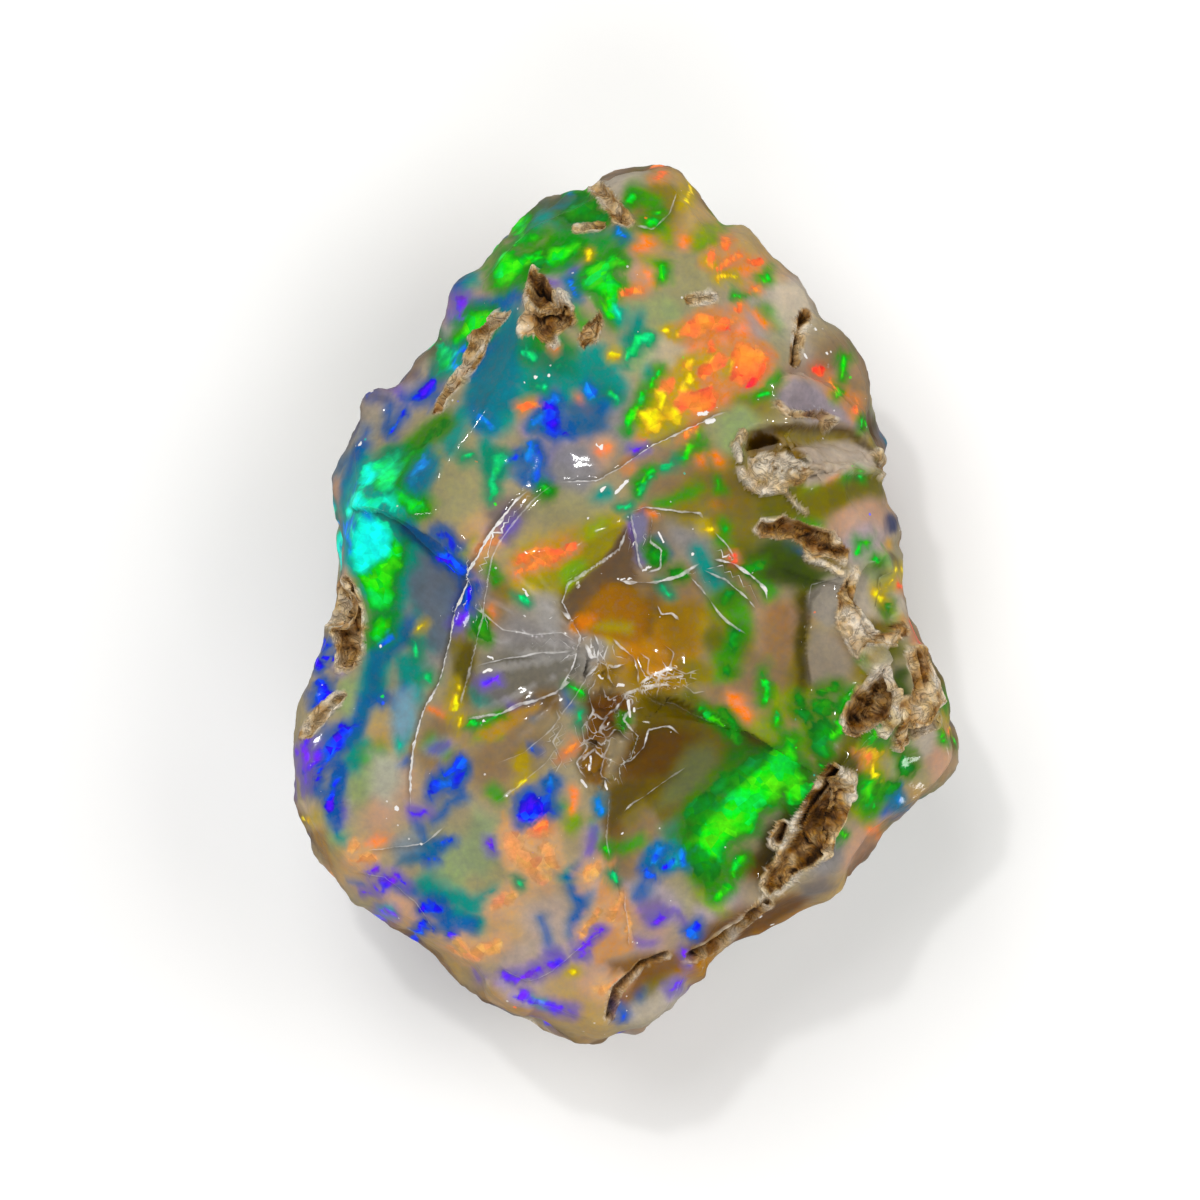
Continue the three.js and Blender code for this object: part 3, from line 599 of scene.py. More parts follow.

# facets of one colour up to a clean edge inside the stone, and patches of painted shade: colour, its edge's
# softness in mm, outline
facetAndShadeRows = [
    """#8c8210 .05 518,556 540,541 573,538 592,540 612,524 628,521 604,556 582,578 568,592 556,590
    540,582 522,580""",
    "#6f9a00 .2 562,560 584,556 590,566 572,588 564,580",
    "#604c38 .05 628,524 636,545 640,577 620,580 604,592 582,618 570,622 566,604 571,590 588,574 608,555",
    "#8c5e08 .12 590,600 612,580 632,583 654,604 650,625 644,642 620,640 598,632 576,622",
    "#968612 .12 592,624 612,617 634,622 634,632 612,630",
    "#c4741c .1 574,624 584,612 600,612 598,620 586,628",
    "#846408 .25 662,602 700,598 706,620 696,650 672,652 660,630",
    "#74718c .05 632,514 648,508 652,520 651,540 646,562 640,560 636,536",
    """#64540f .06 642,692 664,688 690,698 722,712 768,738 744,750 716,772 702,800 690,830 672,836
    656,806 640,782 634,744""",
    "#5a3c0a .3 638,730 664,722 700,728 690,748 668,770 640,778 630,770 634,748",
    "#646a44 .35 690,744 716,742 722,760 704,790 680,800 660,806 668,782 680,762",
    "#54441c .12 612,786 630,776 650,782 640,800 622,812 612,830 608,810",
    "#0b7010 .25 728,746 744,736 770,746 792,756 780,775 760,790 730,800 716,786",
    "#613c08 .08 602,694 622,690 634,700 632,724 606,736 584,738 592,716",
    "#75521e .08 584,744 606,742 612,760 604,782 588,778 582,760",
    "#5c6672 .15 418,548 440,556 468,576 474,592 462,612 454,640 446,652 430,640 424,610 414,596 412,575",
    """#0a446a .06 388,510 404,516 426,529 450,546 468,562 478,574 466,574 450,562 434,556 424,543
    410,540 396,530""",
    "#0c7c6c .15 402,542 420,545 424,562 410,578 402,592 392,594 392,574 400,558",
    "#564c10 .06 458,658 470,640 478,640 480,668 472,690 463,706 460,690",
    "#3c4882 .12 456,602 468,578 476,602 470,620 460,630 452,622",
    "#967438 .08 472,570 484,540 506,512 534,490 538,492 514,520 494,548 482,572",
    """#0a5c80 .15 376,636 420,624 418,640 402,650 390,660 384,690 374,712 368,736 348,750 356,724
    364,706 370,680 374,656""",
    "#a47e3a .06 478,730 504,710 544,698 546,704 520,722 496,738",
    "#c89258 .06 506,806 520,826 540,820 550,850 552,868 540,873 530,868 512,862 504,830",
    "#c08c5c .06 604,860 616,852 630,900 638,944 600,960 592,940 600,900",
    "#74502c .2 610,956 640,950 690,944 704,952 680,968 650,976 632,1000 614,996",
    "#68645a .3 484,650 536,642 580,650 594,668 562,686 502,702 482,690",
    "#c4ae96 .15 306,800 320,796 326,820 316,828",
    "#6c6460 .2 800,880 826,868 838,882 818,894 800,896",
    "#2a6080 .15 400,862 406,846 424,838 456,838 452,850 430,858",
    "#84906c .25 480,800 500,812 505,850 490,870 455,865 450,850 470,830",
    "#0c4c98 .1 344,752 353,758 350,780 346,800 348,822 342,830 338,812 339,775",
    "#8b8377 .05 810,588 822,579 842,572 846,584 838,600 842,614 828,624 812,613 808,600",
    "#877c6c .12 812,624 830,628 842,640 852,660 846,676 820,684 808,676 808,650",
    "#26345c .05 886,515 893,511 901,518 899,529 889,530",
    "#c49a50 .05 884,538 892,536 895,546 887,551",
    "#4a3018 .05 890,550 899,556 903,568 897,568",
    "#5c3c1c .06 903,580 912,592 918,612 911,614 905,598",
    "#676010 .25 742,484 790,494 850,482 886,470 888,492 850,500 810,520 770,508 744,500",
    # painted shade under the right crevice
    "#33440c .15 748,552 770,544 790,542 812,562 838,572 822,580 806,586 772,582 752,570",
    "#8c8288 .08 782,390 796,380 812,384 842,408 862,428 846,424 822,418 800,412 786,412 776,400",
    "#4a480a .12 836,756 848,744 864,742 864,790 854,802 846,778",
    # painted shade on the long cleft's west bank
    "#42340a .15 800,806 770,822 756,856 762,872 776,856 790,830",
    "#6b5a14 .12 866,616 892,618 896,628 884,632 872,628",
    "#5c3a12 .12 812,894 780,918 740,938 700,954 690,944 726,918 765,898 794,890",
    "#8a6c4a .25 764,606 778,596 794,604 796,640 786,664 766,656 760,630",
    "#50460e .1 798,592 809,590 810,616 806,650 808,690 799,690 796,640",
    # painted shade beside the long cleft
    "#3a4406 .15 782,800 806,792 804,818 784,828",
    "#6c6260 .2 490,508 516,494 534,510 516,544 492,544",
    "#7c7a7c .25 552,448 590,440 604,470 590,492 556,486",
    "#786c18 .2 684,660 700,656 716,664 712,682 690,682",
    # painted shade in the big pocket, under its overhanging roof: the olive hollow, its dark core and the
    # shaded upper wall
    "#6e5410 .05 744,446 750,430 776,425 800,440 812,452 800,464 770,460 750,456",
    "#33200a .05 748,442 756,430 774,430 780,440 774,450 756,452",
    "#7c6c18 .12 776,427 822,425 850,431 870,442 846,442 814,446 790,440",
    "#ac9e90 .08 798,448 816,442 846,440 872,446 878,466 846,472 828,480 806,486 802,472 808,458",
    # painted shadow: the dark line under the edge of the pocket's roof
    """#46340c .03 752,432 770,425 800,423 846,427 868,437 880,450 878,466 873,452 862,443 844,434
    800,430 770,431""",
    "#6e5e2c .4 704,474 742,470 760,500 744,540 716,528",
    "#a6a694 .3 376,750 400,748 408,776 396,800 376,790",
    "#b4a488 .2 662,344 684,342 692,356 684,372 668,376 658,362",
    "#6c5c88 .2 640,896 662,892 672,906 656,920 640,914",
    "#b8ab98 .2 776,290 800,284 816,304 812,330 790,334 776,316",
    "#2c6c48 .25 536,340 560,336 576,350 566,372 544,372",
    "#6e5a26 .2 806,538 836,556 846,566 820,566 806,556",
    "#0d8c74 .15 404,540 420,546 418,562 406,570",
    "#2c7c64 .3 664,824 686,812 694,836 676,852",
    "#79838a .25 396,836 420,822 424,846 402,852",
    "#7a98a8 .25 400,692 420,684 420,724 404,744 396,720",
    "#046c7c .2 524,302 500,338 486,362 470,392 484,420 520,408 524,372 520,340",
    "#2a5a80 .2 568,400 600,404 612,428 592,440 574,436",
]

# the play of colour: light split by layers of tiny silica spheres, so each flash has one pure colour
fireSettings = {
    "washDrift": 0.42, "washDriftSize": 1.1, "washWiden": 1.3, "washSoft": 0.26, "ragged": 0.3,
    "raggedSize": 0.8, "domainSize": 0.5, "domainShift": 0.1, "haloSoft": 0.2, "flashSoft": 0.2,
    "patchy": 0.14, "patchySize": 0.5, "blendOver": 0.06, "haloWiden": 1.25, "haloReach": 0.14,
    "patchHalo": 0.25, "patchCore": 0.35, "haloCover": 0.85, "haloGlow": 0.4, "coreDrift": 0.7,
    # how central a place is where the rim's colour begins to turn to the core's, and where it is the core's
    "washCore": (0.05, 0.7), "flashCore": (0.0, 0.9),
    # the facets and the patches of painted shade: how much they hide, their glow, their edges' softness and
    # drift
    "facetAndShadeCover": 0.92, "facetAndShadeGlow": 0.05, "facetAndShadeSoft": 0.06, "facetDrift": 0.12, "facetDriftSize": 0.6,
    # a wash: its rim, its core, how far it hides the body's colour, and how much of it is glow
    "washes": {
        "tealWash": ("#1c7c74", "#027a70", 0.95, 0.3),
        "slateWash": ("#245c84", "#045090", 0.9, 0.3),
        "greenWash": ("#4e7a22", "#1c8410", 0.82, 0.3),
        "limeWash": ("#74781c", "#6c8808", 0.78, 0.3),
        "violetWash": ("#877896", "#6450a4", 0.75, 0.35),
        "coralWash": ("#b87c50", "#e67a42", 0.8, 0.46),
    },
    # a flash: the halo round it, its rim, its core and its glow
    "kinds": {
        "peach": ("#bb9470", "#c89462", "#e09854", 0.45),
        "darkGreen": ("#3a6a12", "#14700a", "#029008", 0.45),
        "orange": ("#b87c50", "#dc7438", "#ff8430", 0.7),
        "red": ("#b07050", "#d85a38", "#ff5222", 0.75),
        "yellow": ("#a08c28", "#c89c14", "#f6ea00", 0.75),
        "azure": ("#1a6480", "#0c6c94", "#0878f0", 0.7),
        "blue": ("#1c4c8c", "#1040b4", "#0422fa", 0.75),
        "violet": ("#66589a", "#6044b4", "#5c1eee", 0.75),
        "jade": ("#147454", "#0a8e58", "#04e474", 0.72),
        "green": ("#167c10", "#069406", "#00de04", 0.58),
        "cyan": ("#068c7c", "#04cc90", "#04f0dc", 0.8),
    },
}

# patches with an outline of their own, by the wash or flash they belong to
flashPatches = {
    "green": """
    496,286 494,272 504,248 510,250 518,258 534,258 540,264 530,270 520,280 508,288; 516,242 524,232
    545,231 540,240 530,246 518,248; 550,262 552,248 562,242 586,240 584,250 574,258 562,268 552,268;
    586,282 594,272 618,262 620,268 614,278 626,282 626,292 618,316 610,322 604,300 592,290; 460,342
    464,324 472,308 494,308 499,322 490,336 474,344; 404,470 415,450 425,452 412,464 406,474 406,486
    414,500 426,500 426,512 412,514 402,502; 398,531 408,544 407,557 398,570 395,590 391,605 380,609
    368,591 363,576 381,560 388,546; 384,608 400,610 401,622 391,637 376,636 376,618; 698,814 706,803
    722,792 738,782 752,770 764,758 780,744 796,742 798,760 806,772 790,784 778,800 760,807 753,828 736,836
    728,856 710,856 700,842 690,836; 776,770 780,750 788,730 800,734 798,772 808,784 820,774 820,780
    808,794 792,804 787,790; 859,788 866,774 876,772 881,786 876,802 866,806; 868,742 870,732 880,725
    888,728 880,738 874,744""",
    "darkGreen": """
    572,202 590,196 600,204 608,218 600,226 575,226 566,216; 742,762 756,748 770,746 766,760 750,776
    738,784 732,778; 702,796 708,786 720,774 738,766 756,755 750,767 734,779 716,791; 404,456 424,440
    440,426 452,420 448,430 430,444 414,456; 812,716 826,711 827,738 818,746; 886,600 893,600 892,612
    886,612""",
    "cyan": """
    364,480 368,468 376,464 380,474 376,486 368,488; 350,508 354,496 364,488 378,494 404,498 404,510
    390,508 372,508 354,512; 362,514 378,512 396,518 402,536 395,552 382,562 370,573 360,572 356,550
    356,530; 372,580 380,582 380,596 372,592""",
    "azure": """
    349,506 352,492 359,484 357,498; 350,519 358,511 364,517 356,530 356,550 359,564 352,548 352,530;
    422,462 432,454 436,462 426,478 422,491 417,486 418,472; 365,514 376,509 384,515 378,524 368,522;
    890,790 898,786 905,799 900,804 892,797; 527,452 536,450 538,462 532,476 524,470""",
    "blue": """
    545,402 560,402 568,420 573,434 560,438 548,435 543,420; 534,452 541,446 546,455 546,476 540,483
    531,474; 419,400 422,387 432,379 442,388 432,395 424,404; 335,732 346,722 354,730 346,742 330,756
    322,770 318,764 322,748; 318,690 326,680 334,690 330,703 322,704; 434,791 440,776 452,772 470,762
    466,776 450,784 438,797; 520,792 536,786 540,796 548,790 550,778 558,774 556,788 550,806 536,818
    526,814; 440,536 453,532 460,542 457,549 447,543""",
    "violet": "456,297 466,296 467,318 461,320; 302,745 308,752 314,770 312,786 304,772",
    "jade": """
    438,358 444,346 456,347 463,358 454,370 442,372; 488,452 500,452 506,462 500,478 502,492 496,500
    492,488 492,470; 376,464 388,454 404,448 412,454 406,472 406,490 396,498 384,494 378,484""",
    "orange": """
    672,334 690,322 714,320 738,320 730,330 706,336 684,338; 738,342 752,346 768,354 768,366 757,380
    742,386 728,380 730,360; 708,358 718,352 726,360 718,374 706,378 702,370; 684,386 700,388 716,386
    724,394 712,404 690,412 676,402; 664,380 676,374 680,384 672,394 660,392; 526,563 540,550 562,543
    576,540 560,556 536,566; 862,752 868,743 869,758 865,762""",
    "yellow": """
    648,412 660,408 670,420 662,436 650,432; 676,402 688,408 682,424 668,418; 656,394 664,392 664,402
    656,406; 684,362 694,360 692,372 682,378; 868,748 874,745 878,754 876,768 870,762""",
    "tealWash": """
    545,216 560,207 572,228 560,236 540,226; 600,360 622,358 628,368 606,382 570,392 540,380 560,366;
    694,778 702,790 700,820 688,850 668,858 676,820 684,796""",
}

# strokes of light: half the width in mm, then where each runs
flashStrokes = {
    "tealWash": """
    .6 520,345 500,372 486,405; .6 530,372 565,372 600,368; .5 540,398 575,392 610,385; .5 505,425 520,405;
    .45 530,224 548,212; .4 560,206 570,222; .3 570,236 605,236; .3 474,280 462,290; .4 425,452 418,490
    412,515; .45 402,520 415,545 410,590; .4 398,590 388,650; .35 385,655 380,690; .3 412,655 420,690; .25
    412,700 406,730; .2 348,830 358,836; .3 430,880 470,896 500,895; .3 455,905 480,915; .35 685,780
    694,812 690,835 668,852; .25 365,455 358,475; .3 468,412 455,440; .25 636,320 628,335; .3 505,305
    520,330; .25 665,362 650,372; .25 495,445 505,470; .3 358,760 366,745; .2 560,360 540,350; .25 720,585
    700,550; .2 500,694 478,694; .2 603,500 612,495; .25 745,740 752,748; .2 420,600 430,640; .25 560,865
    572,870""",
    "slateWash": """
    .35 500,345 486,375; .3 470,316 495,305 520,296; .3 478,402 492,422; .22 366,440 356,475 350,502; .22
    420,460 418,495; .2 575,278 578,300; .16 398,512 425,530 450,548 472,570; .3 610,400 600,415 575,425;
    .3 390,640 410,625; .22 372,700 362,715 352,735; .2 342,770 340,815; .25 455,595 462,618; .2 440,776
    470,765; .16 440,820 452,800 472,790; .2 418,850 440,842; .3 445,915 470,918; .25 580,886 584,904
    577,920; .13 547,912 551,930 552,942; .2 640,892 650,884; .16 885,804 893,800; .16 575,872 588,860; .2
    660,845 650,860; .12 508,684 514,692; .25 470,270 460,284; .12 365,882 356,880; .2 405,880 418,888; .12
    790,545 800,548; .1 574,690 576,704; .14 642,992 645,995; .12 660,540 667,552; .2 420,820 430,835; .16
    400,760 410,755; .2 315,780 322,790; .16 395,405 388,420; .12 370,425 366,432; .1 545,700 540,704; .12
    402,700 412,682""",
    "greenWash": """
    .4 560,240 600,250 622,242; .3 545,262 560,262; .35 420,436 440,424; .3 400,452 430,445; .3 590,270
    600,262; .3 535,345 532,360; .25 562,340 568,352; .4 730,600 740,625; .35 735,650 728,668; .3 800,515
    812,528; .3 730,520 725,535; .25 645,835 625,845; .3 700,870 715,875; .2 530,400 536,408; .25 530,280
    536,290; .3 450,745 440,740; .16 600,820 605,835; .25 870,810 872,770; .2 665,500 700,490; .3 770,380
    750,390; .2 700,245 720,240; .2 500,785 508,792; .25 780,315 765,308; .2 940,690 950,712; .25 770,590
    755,570; .3 430,505 425,495; .2 560,800 580,822; .2 840,470 850,476; .2 890,715 900,745; .2 386,745
    372,752; .2 575,310 585,325; .3 655,205 640,195""",
    "limeWash": """
    .3 658,392 650,426; .25 666,374 684,364; .2 676,420 690,412; .4 765,722 785,735 805,745; .35 805,690
    790,700; .3 715,230 700,243; .35 560,572 590,560; .35 580,545 610,532; .3 820,715 805,730; .25 868,790
    860,805; .2 810,770 828,762; .2 470,560 480,545; .2 660,262 645,256; .25 815,480 800,495; .2 885,600
    895,612; .25 720,900 705,890; .2 660,365 690,360; .2 580,815 572,825; .25 780,705 775,690; .25 650,230
    665,240; .2 480,730 500,722""",
    "violetWash": """
    .2 642,518 641,540 644,560; .25 560,450 580,456; .22 402,390 410,398; .25 655,915 668,908; .15 640,940
    655,938; .2 594,850 602,826; .2 315,745 312,768; .15 345,802 348,812; .16 425,812 415,806; .18 470,605
    462,622; .16 480,580 476,600; .15 548,946 560,948; .2 440,745 452,738; .2 350,655 345,670; .2 630,985
    622,1000; .15 520,506 505,530; .12 498,530 488,552; .2 560,268 575,272; .2 615,905 640,905; .14 480,965
    486,972; .2 675,905 690,925; .25 540,430 545,400; .2 522,700 505,690""",
    "coralWash": """
    .5 704,340 734,332; .5 718,374 752,362; .4 680,404 724,394; .1 436,702 448,708; .16 775,608 782,620;
    .25 740,700 748,712; .2 650,243 640,250; .18 682,245 688,240; .2 648,275 655,285; .16 702,460 703,466;
    .16 720,460 724,466; .2 602,455 612,448; .2 385,834 375,838; .2 755,262 748,272; .2 765,320 758,312; .2
    875,822 884,826; .2 720,505 730,500; .16 660,512 650,508; .2 575,788 572,805; .2 590,410 580,400; .16
    500,606 498,612; .2 845,395 835,402; .2 690,355 700,345; .14 835,470 830,474""",
    "peach": """
    .35 517,828 522,850; .3 528,852 548,872; .12 350,856 378,853; .2 598,862 588,872; .25 550,845 556,858;
    .2 500,900 515,890; .15 355,846 365,842; .2 536,830 550,828; .15 480,548 500,535; .2 620,975 600,985;
    .14 603,902 595,915 588,926; .17 456,936 468,948 482,948 506,940; .18 622,892 618,912; .1 628,905
    630,925""",
    "darkGreen": """
    .5 706,800 700,830; .5 712,862 705,850; .14 752,566 760,562; .25 824,725 824,745; .2 818,706 828,702;
    .16 822,690 838,686; .2 905,755 908,766; .2 722,714 740,732; .2 545,262 538,268; .25 486,616 486,630;
    .16 725,600 732,594; .16 728,662 732,668; .2 733,632 735,642; .15 548,488 550,490; .2 885,728 890,722;
    .2 880,788 892,780; .16 808,712 800,700; .2 655,548 660,556; .15 676,572 680,572; .2 850,695 842,705""",
    "orange": """
    .12 736,312 742,308; .16 710,346 711,352; .2 700,412 712,405; .15 714,256 712,264; .15 722,268 732,262;
    .13 736,257 742,258; .12 727,246 731,240; .1 752,263 759,261; .18 631,293 643,288; .1 752,288 760,290;
    .1 830,382 833,386; .12 856,400 855,410; .12 526,409 539,406; .08 552,345 560,352; .14 526,558 552,548
    576,544; .1 524,568 535,564 549,560; .12 688,436 700,430; .08 566,748 574,740; .08 904,582 909,583; .08
    622,896 620,906; .07 945,726 949,729; .08 645,436 648,438; .12 542,826 548,820; .1 665,178 660,179; .06
    632,464 634,462""",
    "red": """
    .1 768,361 760,374 748,389; .1 817,372 821,370; .09 734,553 735,560; .09 685,366 690,368; .06 912,620
    916,630 919,642; .06 568,748 572,744; .1 722,332 730,334; .07 730,268 734,266""",
    "yellow": """
    .12 722,280 738,279; .1 692,375 695,384; .1 645,414 651,418; .08 708,362 711,356; .1 667,332 677,334;
    .12 688,200 691,192; .09 588,257 592,254; .1 614,354 622,354; .07 429,623 429,625; .12 879,594 884,597;
    .1 461,716 463,724; .13 873,760 876,770; .07 941,722 944,717; .07 705,529 711,529; .04 876,588 888,585
    896,578; .06 898,567 900,569; .06 710,262 714,265; .12 570,962 574,964; .06 520,780 532,775; .06
    457,705 460,690 461,682; .08 318,812 319,816; .12 664,396 656,420; .09 690,380 682,390; .08 700,400
    692,406; .07 735,362 728,372""",
    "azure": """
    .13 351,520 356,536 358,550; .18 484,414 496,426; .2 457,358 462,364; .16 665,843 656,856; .14 684,846
    687,858; .12 566,200 578,196; .12 622,232 627,240; .12 573,282 577,298; .16 540,425 560,400; .14
    531,448 528,462; .08 697,843 704,836; .1 470,345 466,350; .16 590,384 600,392; .12 552,780 556,774; .1
    600,793 603,803; .16 400,632 390,640""",
    "blue": """
    .22 420,396 432,386 440,379; .12 410,412 400,425 396,432; .12 510,461 518,459; .14 446,552 460,560
    471,570; .18 350,724 338,740 328,758; .1 326,765 322,775; .22 328,682 330,692; .1 384,697 388,694; .18
    430,902 446,903; .15 423,927 430,919; .07 434,856 441,853; .08 450,839 456,836; .14 652,870 656,875;
    .12 670,861 676,855; .14 695,930 700,920; .08 622,1003 623,1014; .12 476,588 472,604; .1 380,398
    383,394; .09 451,926 455,928; .1 660,852 664,846; .1 346,640 338,655; .12 318,655 323,665; .1 330,640
    326,650; .14 340,775 336,800; .1 452,766 466,758; .06 539,742 540,747; .1 470,348 474,344""",
    "violet": """
    .12 311,738 309,752; .16 322,748 314,764; .07 516,520 508,532; .1 486,681 500,676; .08 420,812 432,811;
    .18 386,880 394,874; .08 377,867 382,864; .13 388,906 397,909; .12 510,969 530,971 541,965; .06 504,976
    507,974; .12 518,988 530,990; .15 535,999 550,1002 562,1004; .1 567,1003 575,1005; .15 550,957 560,951;
    .1 579,945 590,934 604,922; .05 492,836 497,846; .1 688,953 690,958; .09 672,988 681,980; .07 638,448
    648,447; .06 552,284 556,285; .14 470,612 462,622; .1 400,868 406,880; .09 368,884 374,882; .1 655,914
    662,910""",
    "jade": """
    .16 634,357 636,347 642,340 649,339; .1 640,492 650,480; .1 680,460 665,469; .1 630,505 620,506; .12
    616,868 617,875; .16 527,352 534,358; .12 432,672 436,676; .1 574,366 568,370; .1 540,386 548,390; .12
    525,880 524,876; .12 438,338 442,337; .1 469,458 474,456; .1 426,640 424,650; .14 620,400 615,395; .1
    664,586 668,590; .1 526,592 530,598; .08 586,708 582,720; .14 578,206 584,216""",
    "green": """
    .2 526,264 542,258; .24 592,276 608,268 620,264; .2 612,300 614,320; .12 589,191 592,192; .15 637,201
    637,204; .15 653,228 661,223; .1 662,216 664,215; .1 728,212 731,218; .13 666,270 667,280; .06 735,298
    750,296; .1 764,278 768,274; .08 537,334 541,343; .07 845,352 843,373; .1 838,387 836,392; .08 865,420
    867,424; .08 665,370 655,378 648,392; .1 646,396 642,406 634,420 629,430; .1 494,565 499,577; .1
    546,486 549,490; .1 694,447 690,455; .13 651,473 642,480; .1 640,486 637,492; .07 706,436 703,448; .08
    720,481 723,488; .08 728,521 731,524; .1 654,551 660,556; .1 766,668 767,698; .07 702,706 716,716
    722,722; .13 790,784 791,800; .09 796,793 806,784 815,776; .16 717,890 728,884; .12 741,850 736,870; .1
    854,689 843,703; .13 838,722 835,731; .08 828,742 826,748; .07 779,713 779,721; .06 819,761 822,763;
    .06 874,803 875,806; .09 941,732 946,738; .08 836,828 841,832; .09 856,546 858,541; .04 865,539
    868,538; .1 876,552 880,558; .07 607,841 609,844; .1 577,684 583,689; .07 477,722 490,716 504,711; .05
    626,722 628,714; .12 486,616 486,626; .1 733,634 734,641; .05 861,470 861,474; .08 859,657 862,656; .1
    715,860 712,872; .04 768,398 758,401""",
    "cyan": """
    .11 620,312 622,320; .08 456,367 462,362; .07 458,350 462,351; .05 677,855 680,854; .06 700,838
    704,836; .05 545,1000 541,999; .05 394,906 391,905; .06 405,744 406,740; .06 382,586 380,590""",
}

# edges of facets, where the side to the right of the way along drops and is darkened with painted shade:
# drop, reach, shade, path
scarpSettings = {
    "window scarp": (0.4, 1.3, 0.45, "636,686 672,692 720,712 765,738 816,772"),
    "flank scarp": (0.26, 0.8, 0.24, "346,506 372,508 402,522 436,550 468,578 486,592"),
    "shelf scarp": (0.16, 0.7, 0.35, "826,580 812,600 806,640 812,690"),
    "olive scarp": (0.14, 0.6, 0.3, "780,566 812,576 846,582"),
    "peach scarp": (0.12, 0.5, 0.2, "640,944 628,900 612,852"),
    "cleft scarp": (0.16, 0.75, 0.7, "850,748 808,800 784,834 762,876"),
    "lobe scarp": (0.14, 0.5, 0.25, "872,440 840,402 804,372 774,380"),
}

# small bright reflections on chipped edges
glintSpots = """
    .06 599,441 601,447; .05 606,445 604,449; .12 708,422 715,421; .05 700,415 720,408; .08 604,490
    608,487; .09 619,492 630,480; .07 592,518 595,516; .09 603,569 607,570; .07 645,569 654,563; .06
    528,587 535,597; .08 548,616 556,614; .06 522,612 532,613; .08 489,668 497,666; .08 489,716 490,717;
    .07 602,672 604,676; .08 622,681 626,682; .07 631,697 633,712; .06 637,704 637,706; .07 593,752
    594,764; .06 584,776 590,782; .06 608,776 610,784; .09 813,326 815,334; .07 824,353 828,353; .06
    806,354 809,358; .05 777,300 781,302; .06 402,804 405,803; .08 425,839 427,839; .05 404,860 408,858;
    .04 417,859 418,858; .06 362,446 366,440; .06 379,393 381,396; .07 896,528 902,528; .05 539,378
    553,376; .05 528,382 535,386; .05 752,571 758,566; .04 538,545 541,545; .05 686,556 699,548; .04
    621,577 636,577; .05 543,700 545,699; .05 386,643 387,642; .04 620,832 625,828; .04 762,914 764,912;
    .04 773,920 780,922; .04 918,752 921,754; .04 642,938 634,936; .04 518,648 536,640; .04 488,650
    498,656; .04 638,540 634,546; .04 661,531 666,540; .04 457,350 458,352; .03 650,372 651,376; .04
    633,378 636,380"""

print("colours listed")

# the stone's mesh
meshSettings = {
    "startLevel": 5, "flatten": 0.5, "passes": 7,
    # longest edge of a triangle in mm, by where it lies
    "edges": {"crown": 0.235, "flank": 0.4, "underside": 0.6, "detail": 0.125},
    "crownFrom": 0.2, "undersideFrom": -3.4, "nearCrack": 0.1, "nearPit": 0.2, "wallMiddle": 0.05,
    "thinKnob": 0.2,
    "ripples": {"left shell": (474, 560), "dark window": (620, 700), "teal face": (560, 480),
                "olive face": (700, 560), "orange face": (720, 412), "violet face": (630, 880)},
    "rippleHeight": 0.007, "rippleSpacing": 1.3, "rippleStart": (0.3, 2), "rippleDrift": 0.3,
    "rippleDriftSize": 2.0,
    "swellHeight": 0.08, "swellSize": 2.0, "skinRoughness": 0.13, "skinGrain": 0.9,
    # the worn edge all round, by height from the widest level
    "nibbleFrom": 1.2, "nibbleTo": 2.6, "nibbleSize": 0.95, "nibbleHeight": 0.24,
    # how far a break's own surface runs into its neighbour's, and the most that detail may sink or rise
    "breakBlend": 0.05, "lowest": -1.8, "highest": 0.5, "restBand": 0.02,
}


def pointsOf(piece):
    points = np.zeros(len(piece.data.vertices) * 3)
    piece.data.vertices.foreach_get("co", points)
    return points.reshape(-1, 3) / mm


def setPoints(piece, points):
    piece.data.vertices.foreach_set("co", (points * mm).ravel())
    piece.data.update()


def faceCorners(piece):
    corners = np.zeros(len(piece.data.polygons) * 3, np.int32)
    piece.data.polygons.foreach_get("vertices", corners)
    return corners.reshape(-1, 3)


def pointNormals(points, faces):  # outward, weighted by the faces' areas
    a, b, c = (points[faces[:, k]] for k in range(3))
    across = np.cross(b - a, c - a)
    normals = np.zeros_like(points)
    for k in range(3):
        np.add.at(normals, faces[:, k], across)
    return normals / np.maximum(np.linalg.norm(normals, axis=1), 1e-12)[:, None]


def ontoStone(piece, squash=1.0):  # slides every point along its ray to the broken form
    points = pointsOf(piece) * np.array([1, 1, squash])
    way = points / np.linalg.norm(points, axis=1)[:, None]
    distance, _ = brokenDistance(way)
    setPoints(piece, way * distance[:, None])


def refine(piece, wanted):  # subdivides the wanted faces once
    for parts in (piece.data.vertices, piece.data.edges):
        parts.foreach_set("select", np.zeros(len(parts), bool))
    piece.data.polygons.foreach_set("select", wanted)
    bpy.context.tool_settings.mesh_select_mode = (False, False, True)
    bpy.ops.object.mode_set(mode="EDIT")
    bpy.ops.mesh.subdivide(number_cuts=1)
    bpy.ops.mesh.select_all(action="SELECT")
    bpy.ops.mesh.quads_convert_to_tris(quad_method="BEAUTY", ngon_method="BEAUTY")
    bpy.ops.object.mode_set(mode="OBJECT")


def wantedEdge(middles):  # how long a triangle's edge may be: short where a fracture or a pit's wall runs
    ms = meshSettings
    edges = ms["edges"]
    plan = middles[:, :2]
    near = np.zeros(len(middles), bool)
    for *_, row in [*crackLines.values(), *scarpSettings.values()]:
        near |= pathDistance(plan, row)[0] < ms["nearCrack"]
    for half, _, _, row in knobSettings.values():
        if half < ms["thinKnob"]:
            near |= pathDistance(plan, row)[0] < half
    for half, _, _, _, row in pitSettings["crown"].values():
        fromWall = insidePit(plan, half, row) - ms["wallMiddle"]
        near |= np.abs(fromWall) < ms["nearPit"]
    near |= pathDistance(plan, chipSettings["path"])[0] < chipSettings["half"]
    wanted = np.where(middles[:, 2] > ms["undersideFrom"], edges["flank"], edges["underside"])
    wanted = np.where(middles[:, 2] > ms["crownFrom"], edges["crown"], wanted)
    return np.where(near & (middles[:, 2] > ms["crownFrom"]), edges["detail"], wanted)


